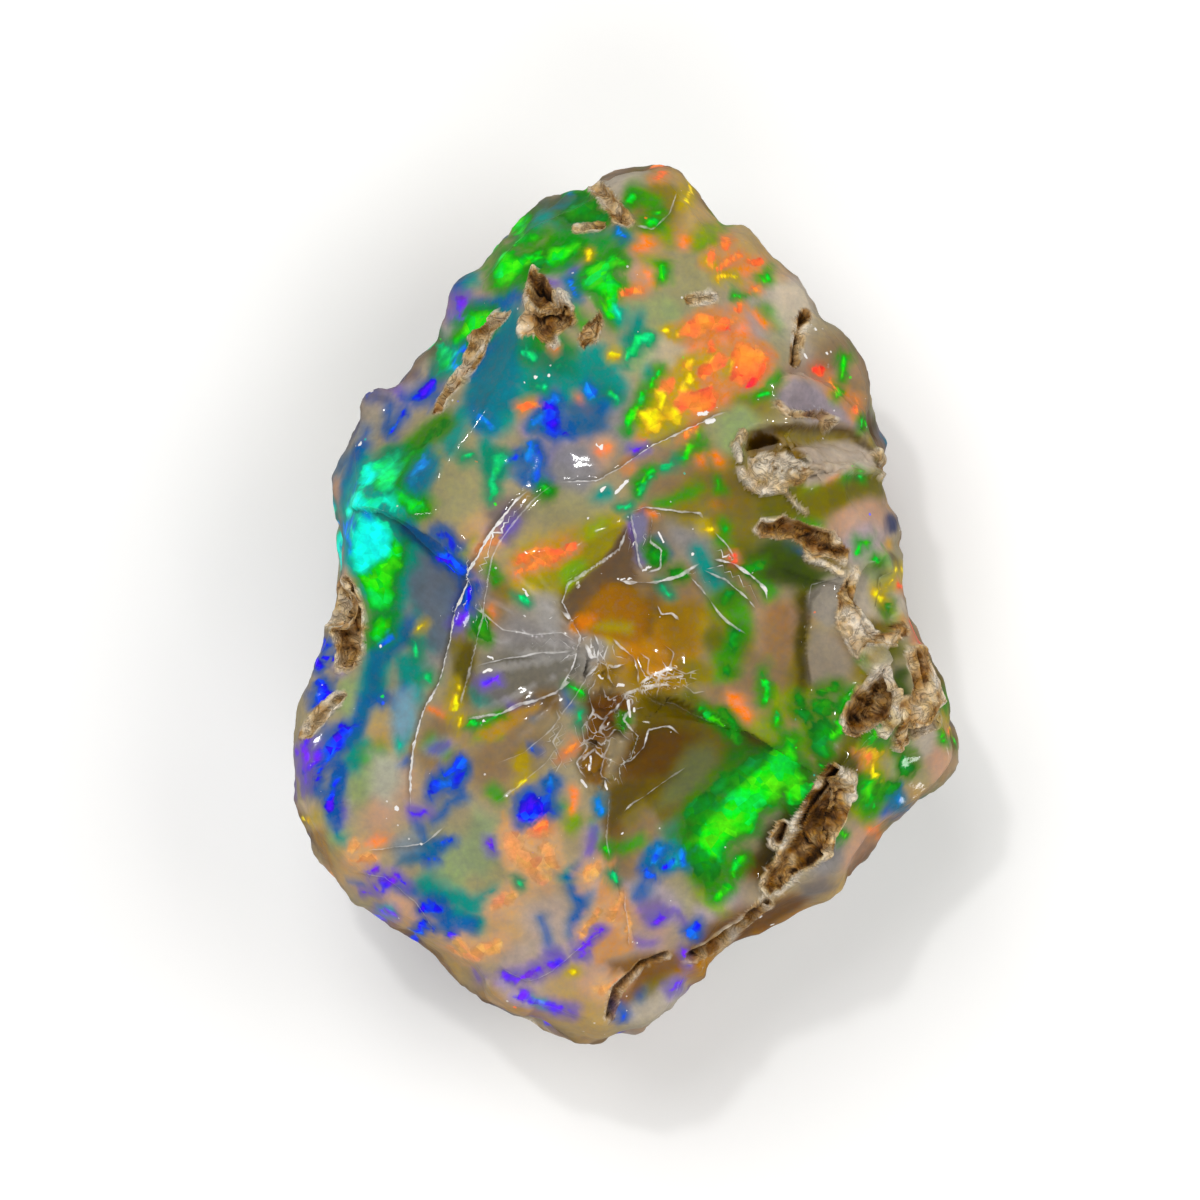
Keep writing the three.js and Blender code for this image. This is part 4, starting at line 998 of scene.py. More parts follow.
def makeRoundedStone():
    bpy.ops.object.select_all(action="DESELECT")
    bpy.ops.mesh.primitive_ico_sphere_add(subdivisions=meshSettings["startLevel"], radius=10 * mm)
    piece = bpy.context.object
    piece.name = "opalStone"
    ontoStone(piece, meshSettings["flatten"])
    for _ in range(meshSettings["passes"]):
        corners = pointsOf(piece)[faceCorners(piece)]
        longest = np.linalg.norm(corners - np.roll(corners, 1, axis=1), axis=2).max(1)
        wanted = longest > wantedEdge(corners.mean(1))
        if not wanted.any():
            break
        refine(piece, wanted)
        ontoStone(piece)
    print("stone mesh,", len(piece.data.polygons), "triangles")
    return piece


def zeros(points, count):
    return [np.zeros(len(points)) for _ in range(count)]


def skinDetail(points, shares):  # height of the swells, ripples and grain of the skin and of the breaks
    ms = meshSettings
    skin = shares[:, 0]
    height = (1 - skin) * roughNoise(points, ms["swellSize"], seeds["swells"], 4) * ms["swellHeight"]
    height += skin * roughNoise(points, ms["skinGrain"], seeds["skin"], 4) * ms["skinRoughness"]
    nibbled = ramp(ms["nibbleTo"], ms["nibbleFrom"], np.abs(points[:, 2]))
    height += nibbled * roughNoise(points, ms["nibbleSize"], seeds["nibbles"], 3) * ms["nibbleHeight"]
    for name, centre in ms["ripples"].items():
        drift = ms["rippleDrift"] * softNoise(points, ms["rippleDriftSize"], seeds["ripples"])
        away = np.linalg.norm(points[:, :2] - placeOf(*centre), axis=1) + drift
        wave = np.sin(2 * math.pi * away / ms["rippleSpacing"])
        wave *= ms["rippleHeight"] * ramp(*ms["rippleStart"], away)
        height += shares[:, 1 + breakNames.index(name)] * wave
    return height


# the host rock's colour carries painted shade: dark clefts and hollows, darker walls, and shade between
# crumbs and in creases
def pitDetail(points, plan):  # height, how far sunk, share of host rock and its colour
    ps = pitSettings
    shift = roughNoise(points, ps["wanderSize"], seeds["pitEdge"], 4) * ps["wander"]
    fold = roughNoise(points, ps["foldSize"], seeds["folds"], 4)
    crease = ramp(ps["creaseReach"], 0.0, np.abs(fold))
    rim = ramp(*ps["rimBreaks"], roughNoise(points, ps["rimSize"], seeds["pitRim"], 3))
    nearest, _, number = chipNoise(points, ps["crumbSize"], seeds["crumbs"])
    crumb = ps["crumbLevel"] - nearest + ps["crumbSpread"] * number
    height, rock, lipped, sunk = zeros(points, 4)
    tone = np.full(len(points), ps["lumpTone"])
    upper = ramp(*ps["upper"], points[:, 2])
    for half, high, rocky, row in knobSettings.values():
        d = pathDistance(plan, row)[0] + shift * min(half, 0.4)
        height += high * np.sqrt(np.clip(1 - (d / half) ** 2, 0, 1)) * upper
        rock = np.maximum(rock, rocky * ramp(half * 1.2, half * 0.85, d) * upper)
    for group, side in (("crown", upper), ("back", ramp(*ps["lower"], points[:, 2]))):
        for half, deep, rocky, within, row in ps[group].values():
            wall = ps["wallWidth"] + ps["wallSlope"] * deep
            inside = insidePit(plan, half, row) - shift * min(1, 0.25 + (half or 0.4))
            depth = deep * ramp(-wall * ps["wallOut"], wall * (1 - ps["wallOut"]), inside) * side
            edge = inside + wall * ps["wallOut"]
            if not half or group == "back":
                lip = np.exp(-((edge + ps["lipAt"]) / ps["lipReach"]) ** 2)
                lipped = np.maximum(lipped, lip * side * rim * rocky)
            rock = np.maximum(rock, rocky * ramp(-ps["rimWidth"] * (0.3 + rim), 0, edge) * side)
            # painted shade: walls darker than the lumps; the clefts' and hollows' floors are given dark
            # tones
            inner = ramp(-0.02, wall * 0.5, inside) * side
            shadedWallTone = ps["wallToneInShade"] + ps["wallToneSpread"] * rim
            tone = np.where(depth > sunk, within * inner + shadedWallTone * (1 - inner), tone)
            sunk = np.maximum(sunk, depth)
    inPit = ramp(*ps["isPit"], sunk)
    rough = crumb * ps["crumbHeight"] + fold * ps["foldHeight"] * inPit - ps["creaseDepth"] * crease * inPit
    height += lipped * ps["rimHeight"] + rock * rough - sunk * (1 + ps["foldSink"] * fold)
    tone += ps["toneDrift"] * roughNoise(points, ps["toneSize"], seeds["rockTone"], 4)
    # painted light and shade: lighter on the crumbs' tops, darker between them and in the folds' creases
    tone += ps["crumbLightAndShade"] * (crumb - ps["crumbMiddle"])
    tone -= ps["creasePaintedShade"] * crease * inPit
    grades = np.array([linearOf(h) for h in ps["tones"]])
    place = np.clip(tone, 0, 1) * (len(grades) - 1)
    rockToneAndShade = np.stack([np.interp(place, np.arange(len(grades)), grades[:, k]) for k in range(3)], 1)
    return height, sunk, rock, rockToneAndShade


# height, how pale the nearest crack is, the way to it, and the painted shade beside facets' edges. The way
# has a sign, so that the material can draw a crack finer than the mesh
def crackDetail(points, plan, whole):
    cs = crackSettings
    height, cracks, shade = zeros(points, 3)
    farthest = cs["farthest"]
    nearLine, crackWay = np.full(len(points), farAway), np.full(len(points), farthest)
    drift = np.stack([roughNoise(points, cs["wanderSize"], seeds["cracks"] + k, 2) for k in range(2)], 1)
    wandered = plan + cs["wander"] * drift
    for step, pale, row in crackLines.values():
        d, along, side = pathDistance(wandered, row)
        ends = ramp(0, cs["endShare"], along) * ramp(1, 1 - cs["endShare"], along) * whole
        height += 0.5 * step * side * ends * (1 - ramp(0, cs["stepReach"], d))
        closer = d < nearLine
        nearLine = np.minimum(nearLine, d)
        crackWay = np.where(closer, np.clip(side * d, -farthest, farthest), crackWay)
        cracks = np.where(closer, pale * ends * ramp(*cs["palest"], d), cracks)
    for drop, reach, dark, row in scarpSettings.values():
        d, along, side = pathDistance(wandered, row)
        ends = ramp(0, cs["scarpEndShare"], along) * ramp(1, 1 - cs["scarpEndShare"], along) * whole
        fall = np.exp(-d / reach) * ramp(cs["scarpEdge"], -cs["scarpEdge"], side * d) * ends
        height -= drop * fall
        shade = np.maximum(shade, dark * fall)
    return height, cracks, crackWay, shade


def shatterDetail(points, plan, onCrown):  # height of tilted chips and of rays, and how pale the rays are
    cs = chipSettings
    rs = raySettings
    # the chips are longer than wide, along a line 35 degrees off +X
    turned = points @ np.array([[0.82, 0.57, 0], [-0.57, 0.82, 0], [0, 0, 1]])
    turned = turned * np.array([1, cs["lengthen"], 1])
    _, offset, number = chipNoise(turned, cs["size"], seeds["chips"])
    turn = 2 * math.pi * 7 * number
    tilted = offset[:, 0] * np.cos(turn) + offset[:, 1] * np.sin(turn)
    away = pathDistance(plan, cs["path"])[0]
    chipped = ramp(cs["half"], cs["half"] * 0.5, away)
    height = chipped * onCrown * (tilted * cs["tilt"] + (number - 0.5) * cs["step"])
    fromBlow = plan - placeOf(*rs["from"])
    r = np.linalg.norm(fromBlow, axis=1)
    angle = np.arctan2(fromBlow[:, 1], fromBlow[:, 0]) - math.radians(rs["towards"])
    angle = np.arctan2(np.sin(angle), np.cos(angle))
    spread = math.radians(rs["spread"])
    fan = ramp(spread, spread * rs["firm"], np.abs(angle)) * ramp(0.3, 0.8, r) * onCrown
    fan *= ramp(rs["reach"], rs["reach"] * rs["firm"], r)
    lanes = np.stack([angle * rs["count"] / 2, r * rs["unevenness"], r * 0], 1)
    rays = roughNoise(lanes, 1.0, seeds["rays"], 2)
    return height + fan * rays * rs["height"], fan * ramp(0.12, 0.3, rays)


def detailOf(points, shares):  # how far each point moves along its normal, and what it is there
    plan = points[:, :2]
    onCrown = points[:, 2] > 0
    pitHeight, sunk, rock, rockToneAndShade = pitDetail(points, plan)
    crackHeight, cracks, crackWay, shade = crackDetail(points, plan, onCrown * (1 - ramp(0.1, 0.4, sunk)))
    shatterHeight, streaks = shatterDetail(points, plan, onCrown)
    glints = np.zeros(len(points))
    for half, row in strokesOf(glintSpots):
        glints = np.maximum(glints, ramp(half * 1.5, 0, pathDistance(plan, row)[0]) * onCrown)
    height = skinDetail(points, shares) + pitHeight + crackHeight + shatterHeight
    height = np.clip(height, meshSettings["lowest"], meshSettings["highest"])
    return height, {"rock": rock, "rockToneAndShade": rockToneAndShade, "cracks": cracks, "crackWay": crackWay,
                    "glints": glints, "skin": shares[:, 0], "shade": shade, "streaks": streaks}


def pushed(points, size, reach, seed, octaves):  # places in plan, pushed about so that borders wander
    push = np.stack([roughNoise(points, size, seed + k, octaves) for k in (0, 90)], 1)
    return points[:, :2] + reach * push


def mixed(low, high, share):  # from one sRGB hex colour to another
    return linearOf(low) * (1 - share)[:, None] + linearOf(high) * share[:, None]


def stainAndShadeColour(points):
    ss = stainSettings
    plan = pushed(points, ss["driftSize"], ss["drift"], seeds["stains"], 3)
    weight = np.full(len(points), ss["groundWeight"])
    total = weight[:, None] * linearOf(ss["ground"])
    for colour, spots in stainAndShadeSpots.values():
        for half, row in strokesOf(spots):
            away = pathDistance(plan, row)[0] / (half * ss["widen"])
            near = (1 + away ** 2) ** -ss["falloff"]
            total += near[:, None] * linearOf(colour)
            weight += near
    return total / weight[:, None]


def spotReach(plan, kind, widen=1.0):  # mm inside the nearest spot's edge and its halo's, and how central
    fs = fireSettings
    inside, inHalo, middle = (np.full(len(plan), -farAway) for _ in range(3))
    for half, row in strokesOf(flashStrokes[kind]):
        d = pathDistance(plan, row)[0]
        inside = np.maximum(inside, half * widen - d)
        inHalo = np.maximum(inHalo, half * fs["haloWiden"] + fs["haloReach"] - d)
        middle = np.maximum(middle, 1 - d / (half * widen))
    for row in filter(None, flashPatches.get(kind, "").split(";")):
        depth = insideOutline(plan, row)
        inside = np.maximum(inside, depth)
        inHalo = np.maximum(inHalo, depth + fs["patchHalo"])
        middle = np.maximum(middle, depth / fs["patchCore"])
    return inside, inHalo, middle


def layWashes(points, tint):  # broad soft washes and the halos of the flashes laid over the body's colour
    fs = fireSettings
    colour, glow = tint.copy(), np.zeros(len(points))
    wide = pushed(points, fs["washDriftSize"], fs["washDrift"], seeds["washes"], 4)
    over = {}
    for name, (rim, core, hides, shines) in fs["washes"].items():
        inside, _, middle = spotReach(wide, name, fs["washWiden"])
        own = mixed(rim, core, ramp(*fs["washCore"], middle))
        over[name] = (own, hides * ramp(-fs["washSoft"], fs["washSoft"], inside), shines)
    # the facets, and the patches of painted shade
    edges = pushed(points, fs["facetDriftSize"], fs["facetDrift"], seeds["facets"], 3)
    for k, facet in enumerate(facetAndShadeRows):
        hexColour, soft, row = facet.split(None, 2)
        soft = float(soft) + fs["facetAndShadeSoft"]
        share = fs["facetAndShadeCover"] * ramp(-soft, soft, insideOutline(edges, row))
        over[k] = (linearOf(hexColour), share, fs["facetAndShadeGlow"])
    fine = flashPlan(points)
    for name, (halo, _, _, shines) in fs["kinds"].items():
        share = fs["haloCover"] * ramp(-fs["haloSoft"], fs["haloSoft"], spotReach(fine, name)[1])
        over[name] = (linearOf(halo), share, fs["haloGlow"] * shines)
    for own, share, shines in over.values():
        colour = colour * (1 - share)[:, None] + own * share[:, None]
        glow = glow * (1 - share) + shines * share
    return colour, glow


def flashPlan(points):  # the plan as the flashes see it: each small domain of spheres lies a little off
    fs = fireSettings
    fine = pushed(points, fs["raggedSize"], fs["ragged"], seeds["flashes"], 4)
    pushedPoints = points + 0.5 * (fine - points[:, :2]).mean(1)[:, None]
    _, _, number = chipNoise(pushedPoints, fs["domainSize"], seeds["domains"])
    turn = 2 * math.pi * 7 * number
    way = np.stack([np.cos(turn), np.sin(turn)], 1)
    return fine + fs["domainShift"] * ((number * 31) % 1)[:, None] * way


def layFlashes(points):  # the flashes' colour, how far inside them it is from 0 to 1, and their glow
    fs = fireSettings
    colour, glow, total = np.zeros((len(points), 3)), np.zeros(len(points)), np.zeros(len(points))
    most = np.full(len(points), -farAway)
    fine = flashPlan(points)
    uneven = roughNoise(points, fs["patchySize"], seeds["patchy"], 3)
    for name, (_, rim, core, shines) in fs["kinds"].items():
        inside, _, middle = spotReach(fine, name)
        inside += fs["patchy"] * uneven
        weight = np.exp(np.clip(inside, -1, 1) / fs["blendOver"])
        own = mixed(rim, core, ramp(*fs["flashCore"], middle + fs["coreDrift"] * uneven))
        colour += weight[:, None] * own
        glow += weight * shines
        total += weight
        most = np.maximum(most, inside)
    return colour / total[:, None], ramp(-fs["flashSoft"], fs["flashSoft"], most), glow / total


# the flanks and the back: weathered skin, host rock left in patches, and flashes where a break lets light in
backSettings = {
    "from": 0.9, "to": -0.9, "drift": 0.7, "driftSize": 1.6, "stainSize": 3.2, "stainContrast": 0.9,
    "skins": ["#a08c68", "#8f8a68", "#b3947c", "#8a6c44"],
    "rockSize": 3.6, "rockFrom": 0.12, "rockTo": 0.3, "rockOnBreaks": 0.35, "washSize": 2.6,
    "washCover": 0.75, "washFrom": 0.12, "washTo": 0.34,
    "washKinds": ["tealWash", "greenWash", "violetWash", "slateWash"],
    "flashSize": 1.4, "flashReach": 0.56, "flashShare": 0.42, "smallest": 0.25, "spacing": 1.5,
    "warp": 0.5, "warpSize": 0.8, "halo": 0.7, "haloGlow": 0.3, "haloReach": 0.45,
    "flashKinds": ["green", "blue", "orange", "jade", "violet", "azure"],
}


def backColours(points, skin):  # body colour and its glow, the rock's share, flash colour, cover and glow
    bs = backSettings
    shades = [linearOf(h) for h in bs["skins"]]
    stain = 0.5 + bs["stainContrast"] * roughNoise(points, bs["stainSize"], seeds["backStain"], 4)
    other = ramp(-0.2, 0.2, roughNoise(points, bs["stainSize"] * 0.7, seeds["backSkin"], 4))[:, None]
    first = shades[0] * (1 - other) + shades[1] * other
    then = shades[2] * (1 - other) + shades[3] * other
    stain = ramp(0.2, 0.8, stain)[:, None]
    tint = first * (1 - stain) + then * stain
    for k, name in enumerate(bs["washKinds"]):
        patch = roughNoise(points, bs["washSize"], seeds["backWashes"] + k, 5)
        over = bs["washCover"] * ramp(bs["washFrom"], bs["washTo"], patch)[:, None]
        tint = tint * (1 - over) + linearOf(fireSettings["washes"][name][0]) * over
    rock = ramp(bs["rockFrom"], bs["rockTo"], roughNoise(points, bs["rockSize"], seeds["backRock"], 5))
    rock *= bs["rockOnBreaks"] + (1 - bs["rockOnBreaks"]) * skin
    warp = [roughNoise(points, bs["warpSize"], seeds["backWarp"] + k, 4) for k in range(3)]
    warped = points + bs["warp"] * np.stack(warp, 1)
    nearest, _, number = chipNoise(warped * np.array([1, 1.4, 1]), bs["flashSize"], seeds["backFlashes"])
    grown = bs["smallest"] + (1 - bs["smallest"]) * ((number * 17) % 1)
    inside = bs["flashReach"] * grown - nearest * bs["flashSize"] / bs["spacing"]
    inside = np.where(number < bs["flashShare"], inside, -farAway)
    kinds = bs["flashKinds"]
    picked = np.clip((number / bs["flashShare"] * len(kinds)).astype(int), 0, len(kinds) - 1)
    colour, glow = np.zeros((len(points), 3)), np.zeros(len(points))
    halos = np.zeros((len(points), 3))
    for k, name in enumerate(kinds):
        around, rim, core, shines = fireSettings["kinds"][name]
        here = picked == k
        colour = np.where(here[:, None], mixed(rim, core, ramp(0.1, 0.5, inside)), colour)
        halos = np.where(here[:, None], linearOf(around), halos)
        glow = np.where(here, shines, glow)
    halo = bs["halo"] * ramp(-bs["haloReach"], 0.1, inside)
    tint = tint * (1 - halo)[:, None] + halos * halo[:, None]
    soft = fireSettings["flashSoft"]
    return tint, bs["haloGlow"] * halo, rock, colour, ramp(-soft, soft, inside), glow


def setAttribute(piece, name, rgb, alpha):
    layer = piece.data.attributes.new(name, "FLOAT_COLOR", "POINT")
    layer.data.foreach_set("color", np.concatenate([rgb, alpha[:, None]], 1).astype(np.float32).ravel())


def paintStone(piece, facts):  # what the material reads at every point
    ss = stainSettings
    points = facts["points"]
    # below the crown the colours are read further in, so that they don't streak down the flanks
    low = np.clip(ss["crownTop"] - points[:, 2], 0, 6) * ss["readInward"]
    inward = 1 - low / np.maximum(np.linalg.norm(points[:, :2], axis=1), 1)
    points = points * np.stack([inward, inward, inward * 0 + 1], 1)
    tint, glow = layWashes(points, stainAndShadeColour(points))
    grey = tint.mean(1, keepdims=True)
    tint = np.clip(grey + (tint - grey) * ss["richness"], 0.002, 1)
    # painted shade beside the facets' edges
    tint *= (1 - facts["shade"])[:, None]
    streaks = ss["streakShare"] * facts["streaks"][:, None]
    tint = tint * (1 - streaks) + linearOf(ss["streakColour"]) * streaks
    # the colour turns browner and darker towards the widest level, in patches
    drift = ss["rimDrift"] * roughNoise(points, ss["rimSize"], seeds["rim"], 4)
    rim = ramp(ss["rimFrom"], ss["rimTo"], facts["points"][:, 2] + drift)
    rim *= ss["rimShare"]
    patch = roughNoise(points, ss["rimPatch"], seeds["rimBrown"], 3)
    browned = mixed(*ss["rim"], ramp(-0.2, 0.3, patch))
    tint = tint * (1 - rim)[:, None] + browned * rim[:, None]
    flash, cover, flashGlow = layFlashes(points)
    points = facts["points"]
    backTint, backGlow, backRock, backFlash, backCover, backFlashGlow = backColours(points, facts["skin"])
    edge = roughNoise(points, backSettings["driftSize"], seeds["backEdge"], 3)
    level = points[:, 2] + backSettings["drift"] * edge
    crown = ramp(backSettings["to"], backSettings["from"], level)

    def blended(front, back):
        share = crown if front.ndim == 1 else crown[:, None]
        return front * share + back * (1 - share)

    rock = np.maximum(facts["rock"], backRock * (1 - crown))
    body = blended(tint, backTint) * (1 - rock)[:, None] + facts["rockToneAndShade"] * rock[:, None]
    clear = np.clip(1 - 1.2 * rock, 0, 1)
    setAttribute(piece, "bodyColour", body, ramp(0.15, 0.85, rock))
    setAttribute(piece, "flashColour", blended(flash, backFlash), blended(cover, backCover) * clear)
    glows = [blended(glow, backGlow) * clear, blended(flashGlow, backFlashGlow)]
    marks = np.stack([facts["cracks"], *glows], 1)
    setAttribute(piece, "marks", marks, facts["skin"])
    unused = np.zeros(len(points))
    setAttribute(piece, "lines", np.stack([facts["crackWay"], facts["glints"], unused], 1), unused)
    print("stone painted")


def makeStone():
    piece = makeRoundedStone()
    points, faces = pointsOf(piece), faceCorners(piece)
    way = points / np.linalg.norm(points, axis=1)[:, None]
    _, distances = brokenDistance(way)
    closeness = np.exp(-(distances - distances.min(1, keepdims=True)) / meshSettings["breakBlend"])
    shares = closeness / closeness.sum(1, keepdims=True)
    height, facts = detailOf(points, shares)
    resting = points[:, 2] < -stoneForm["restDrop"] + meshSettings["restBand"]
    height[resting] = 0
    points = points + pointNormals(points, faces) * height[:, None]
    points[:, 2] = np.maximum(points[:, 2], -stoneForm["restDrop"])
    facts["points"] = points
    low, high = points.min(0), points.max(0)
    middle = np.array([*(low + high)[:2] / 2, low[2]])
    cadMiddle = np.array([(cadLow.x + cadHigh.x) / 2, (cadLow.y + cadHigh.y) / 2, cadLow.z]) / mm
    setPoints(piece, points - middle + cadMiddle)
    bpy.ops.object.shade_smooth()
    print("stone shaped,", len(faces), "triangles, box", np.round(high - low, 2))
    paintStone(piece, facts)
    return piece


stone = makeStone()
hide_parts("opal")
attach(stone, "root")


# adds one node. Settings go by name and sockets by name or number; a node given is linked by its output
def addNode(tree, kind, settings):
    node = tree.nodes.new("ShaderNode" + kind)
    for name, value in settings.items():
        if isinstance(value, bpy.types.Node):
            value = next(socket for socket in value.outputs if socket.enabled)
        if isinstance(value, bpy.types.NodeSocket):
            tree.links.new(value, node.inputs[name])
        elif isinstance(name, str) and name not in node.inputs:
            setattr(node, name, value)
        else:
            node.inputs[name].default_value = value
    return node


def newMaterial(name):  # and the function that adds a node to it
    material = bpy.data.materials.new(name)
    material.use_nodes = True
    material.node_tree.nodes.clear()
    return material, functools.partial(addNode, material.node_tree)


# precious opal is hydrated silica, a clear to milky gel-glass. Nothing has cut or polished it: it broke in
# shells, which leaves a glassy gloss and flashes of pure colour below it, and its old skin is worn dull. In
# its hollows is the host rock, rhyolite, porous and crumbling, so it looks dry and chalky
opalSettings = {
    "ior": 1.44, "glossyRoughness": 0.08, "skinRoughness": 0.36, "rockRoughness": 0.88,
    "milkiness": 0.12, "milkDepth": 0.4 * mm, "milkRadius": (1.0, 0.85, 0.6),
    # each noise: its size in mm, detail, roughness and twist
    "noises": {
        "clouds": (1.6, 4, 0.6, 0), "mottle": (0.24, 5, 0.65, 0), "curls": (0.5, 3, 0.55, 1.1),
        "tint": (0.5, 3, 0.6, 0), "edge": (0.22, 3, 0.6, 0), "hue": (0.9, 2, 0.6, 0),
        "crackWidth": (0.5, 2, 0.6, 0), "crackFade": (0.45, 2, 0.6, 0),
    },
    # what a noise does from its low places to its high ones
    "spreads": {
        "cloudy": ("clouds", 0.86, 1.14), "mottled": ("mottle", 0.87, 1.13), "grainy": ("mottle", 0.74, 1.3),
        "tintHue": ("tint", 0.495, 0.505), "tintDepth": ("mottle", 0.88, 1.12),
        "flicker": ("mottle", 0.78, 1.088), "hueDrift": ("hue", -0.014, 0.014),
        "crackHalf": ("crackWidth", 0.006, 0.062),
    },
    # scatters of cells, by their spacing in mm: domains of one layering, lone flecks of light, specks
    "cells": {"domain": 0.34, "fleck": 0.62, "speck": 0.36},
    "hueDomain": 0.01, "domainShade": 0.28, "edgeReach": 0.34, "edgeSoft": 0.16, "glowTakes": 0.45,
    "crackShadow": 0.22, "crackDark": 0.42, "crackFloor": 0.35, "crackSharpness": 40.0,
    "crackFadeFrom": 0.36, "crackFadeTo": 0.6, "crackFaintest": 0.36, "creaseWidth": 0.055,
    "creaseShade": 0.6, "paleColour": "#ece8e4", "noiseLow": 0.3, "noiseHigh": 0.7, "fleckRockLimit": 0.8,
    "fleckSize": 0.13, "fleckShare": 0.13, "fleckSoft": 0.05, "fleckGlow": 0.5, "speckSize": 0.12,
    "speckShare": 0.14, "speckPaleness": 0.6, "glintFrom": 0.55, "glintTo": 0.66,
    "fleckColours": ["#10e010", "#ff6a20", "#2a50ff", "#18b8a0"], "fleckStarts": [0, 0.45, 0.62, 0.82],
    "glossBump": 0.015 * mm, "rockBump": 0.07 * mm, "rockGrain": 0.6,
}


def opalMaterial():
    look = opalSettings
    material, add = newMaterial("precious opal with host rock")
    place = add("TexCoord", {}).outputs["Object"]
    body, flash, marks, lines = (add("Attribute", {"attribute_name": name})
                                 for name in ("bodyColour", "flashColour", "marks", "lines"))
    mark = add("SeparateColor", {"Color": marks}).outputs
    line = add("SeparateColor", {"Color": lines}).outputs
    rock, skin = body.outputs["Alpha"], marks.outputs["Alpha"]
    noise, spread, cell, chance = {}, {}, {}, {}
    for name, (size, detail, roughness, twist) in look["noises"].items():
        noise[name] = add("TexNoise", {
            "Vector": place, "Scale": 1 / (size * mm), "Detail": detail, "Roughness": roughness,
            "Distortion": twist,
        })
    for name, (source, low, high) in look["spreads"].items():
        spread[name] = add("MapRange", {
            "Value": noise[source], "From Min": look["noiseLow"], "From Max": look["noiseHigh"],
            "To Min": low, "To Max": high,
        })
    for name, spacing in look["cells"].items():
        cell[name] = add("TexVoronoi", {"Vector": place, "Scale": 1 / (spacing * mm)})
        chance[name] = add("SeparateColor", {"Color": cell[name].outputs["Color"]}).outputs

    # milky clouds in the gel; where host rock shows, grain, and curled creases darkened with painted shade
    offCurl = add("Math", {"operation": "SUBTRACT", 0: noise["curls"], 1: 0.5})
    crease = add("Math", {"operation": "ABSOLUTE", 0: offCurl})
    creased = add("MapRange", {
        "Value": crease, "From Max": look["creaseWidth"], "To Min": look["creaseShade"],
    })
    crust = add("Math", {"operation": "MULTIPLY", 0: creased, 1: spread["grainy"]})
    milky = add("Math", {"operation": "MULTIPLY", 0: spread["cloudy"], 1: spread["mottled"]})
    bodyLevel = add("Mix", {"Factor": rock, "A": milky, "B": crust})
    tinted = add("HueSaturation", {
        "Color": body, "Hue": spread["tintHue"], "Saturation": spread["tintDepth"],
    })
    bodyShade = add("VectorMath", {"operation": "SCALE", 0: tinted, "Scale": bodyLevel})

    # a flash starts where its cover passes a half, give or take a fine noise
    offEdge = add("Math", {"operation": "SUBTRACT", 0: noise["edge"], 1: 0.5})
    ragged = add("Math", {"operation": "MULTIPLY", 0: offEdge, 1: look["edgeReach"] * 2})
    cover = add("Math", {"operation": "ADD", 0: flash.outputs["Alpha"], 1: ragged})
    flashShare = add("MapRange", {
        "Value": cover, "From Min": 0.5 - look["edgeSoft"], "From Max": 0.5 + look["edgeSoft"],
    })
    domainHue = add("MapRange", {
        "Value": chance["domain"]["Red"], "To Min": 0.5 - look["hueDomain"],
        "To Max": 0.5 + look["hueDomain"],
    })
    hue = add("Math", {"operation": "ADD", 0: domainHue, 1: spread["hueDrift"]})
    domainLevel = add("MapRange", {"Value": chance["domain"]["Green"], "To Min": 1 - look["domainShade"]})
    hued = add("HueSaturation", {"Color": flash, "Hue": hue, "Value": domainLevel})
    flashShade = add("VectorMath", {"operation": "SCALE", 0: hued, "Scale": spread["flicker"]})

    # small lone flecks: some cells of a scatter, each of one colour
    fleckFrom = 1 - look["fleckShare"]
    fleckReach = add("MapRange", {
        "Value": chance["fleck"]["Red"], "From Min": fleckFrom, "To Max": look["fleckSize"],
    })
    unevenReach = add("Math", {"operation": "MULTIPLY_ADD", 0: ragged, 1: 0.5, 2: fleckReach})
    fleckDepth = add("Math", {"operation": "SUBTRACT", 0: unevenReach, 1: cell["fleck"]})
    fleckCover = add("MapRange", {"Value": fleckDepth, "From Max": look["fleckSoft"]})
    picked = add("Math", {"operation": "GREATER_THAN", 0: chance["fleck"]["Red"], 1: fleckFrom})
    clear = add("Math", {"operation": "SUBTRACT", "use_clamp": True, 0: look["fleckRockLimit"], 1: rock})
    pickedCover = add("Math", {"operation": "MULTIPLY", 0: fleckCover, 1: picked})
    fleck = add("Math", {"operation": "MULTIPLY", 0: pickedCover, 1: clear})
    wheel = add("ValToRGB", {"Fac": chance["fleck"]["Green"]})
    wheel.color_ramp.interpolation = "CONSTANT"
    stops = wheel.color_ramp.elements
    for k, (start, hexColour) in enumerate(zip(look["fleckStarts"], look["fleckColours"])):
        stop = stops[k] if k < 2 else stops.new(start)
        stop.position = start
        stop.color = (*linearOf(hexColour), 1)
    flecked = add("Mix", {"data_type": "RGBA", "Factor": fleck, 6: bodyShade, 7: wheel})
    coloured = add("Mix", {"data_type": "RGBA", "Factor": flashShare, 6: flecked, 7: flashShade})
    fleckGlow = add("Math", {"operation": "MULTIPLY", 0: fleck, 1: look["fleckGlow"]})
    bodyGlow = add("Math", {"operation": "MAXIMUM", 0: mark["Green"], 1: fleckGlow})
    glow = add("Mix", {"Factor": flashShare, "A": bodyGlow, "B": mark["Blue"]})

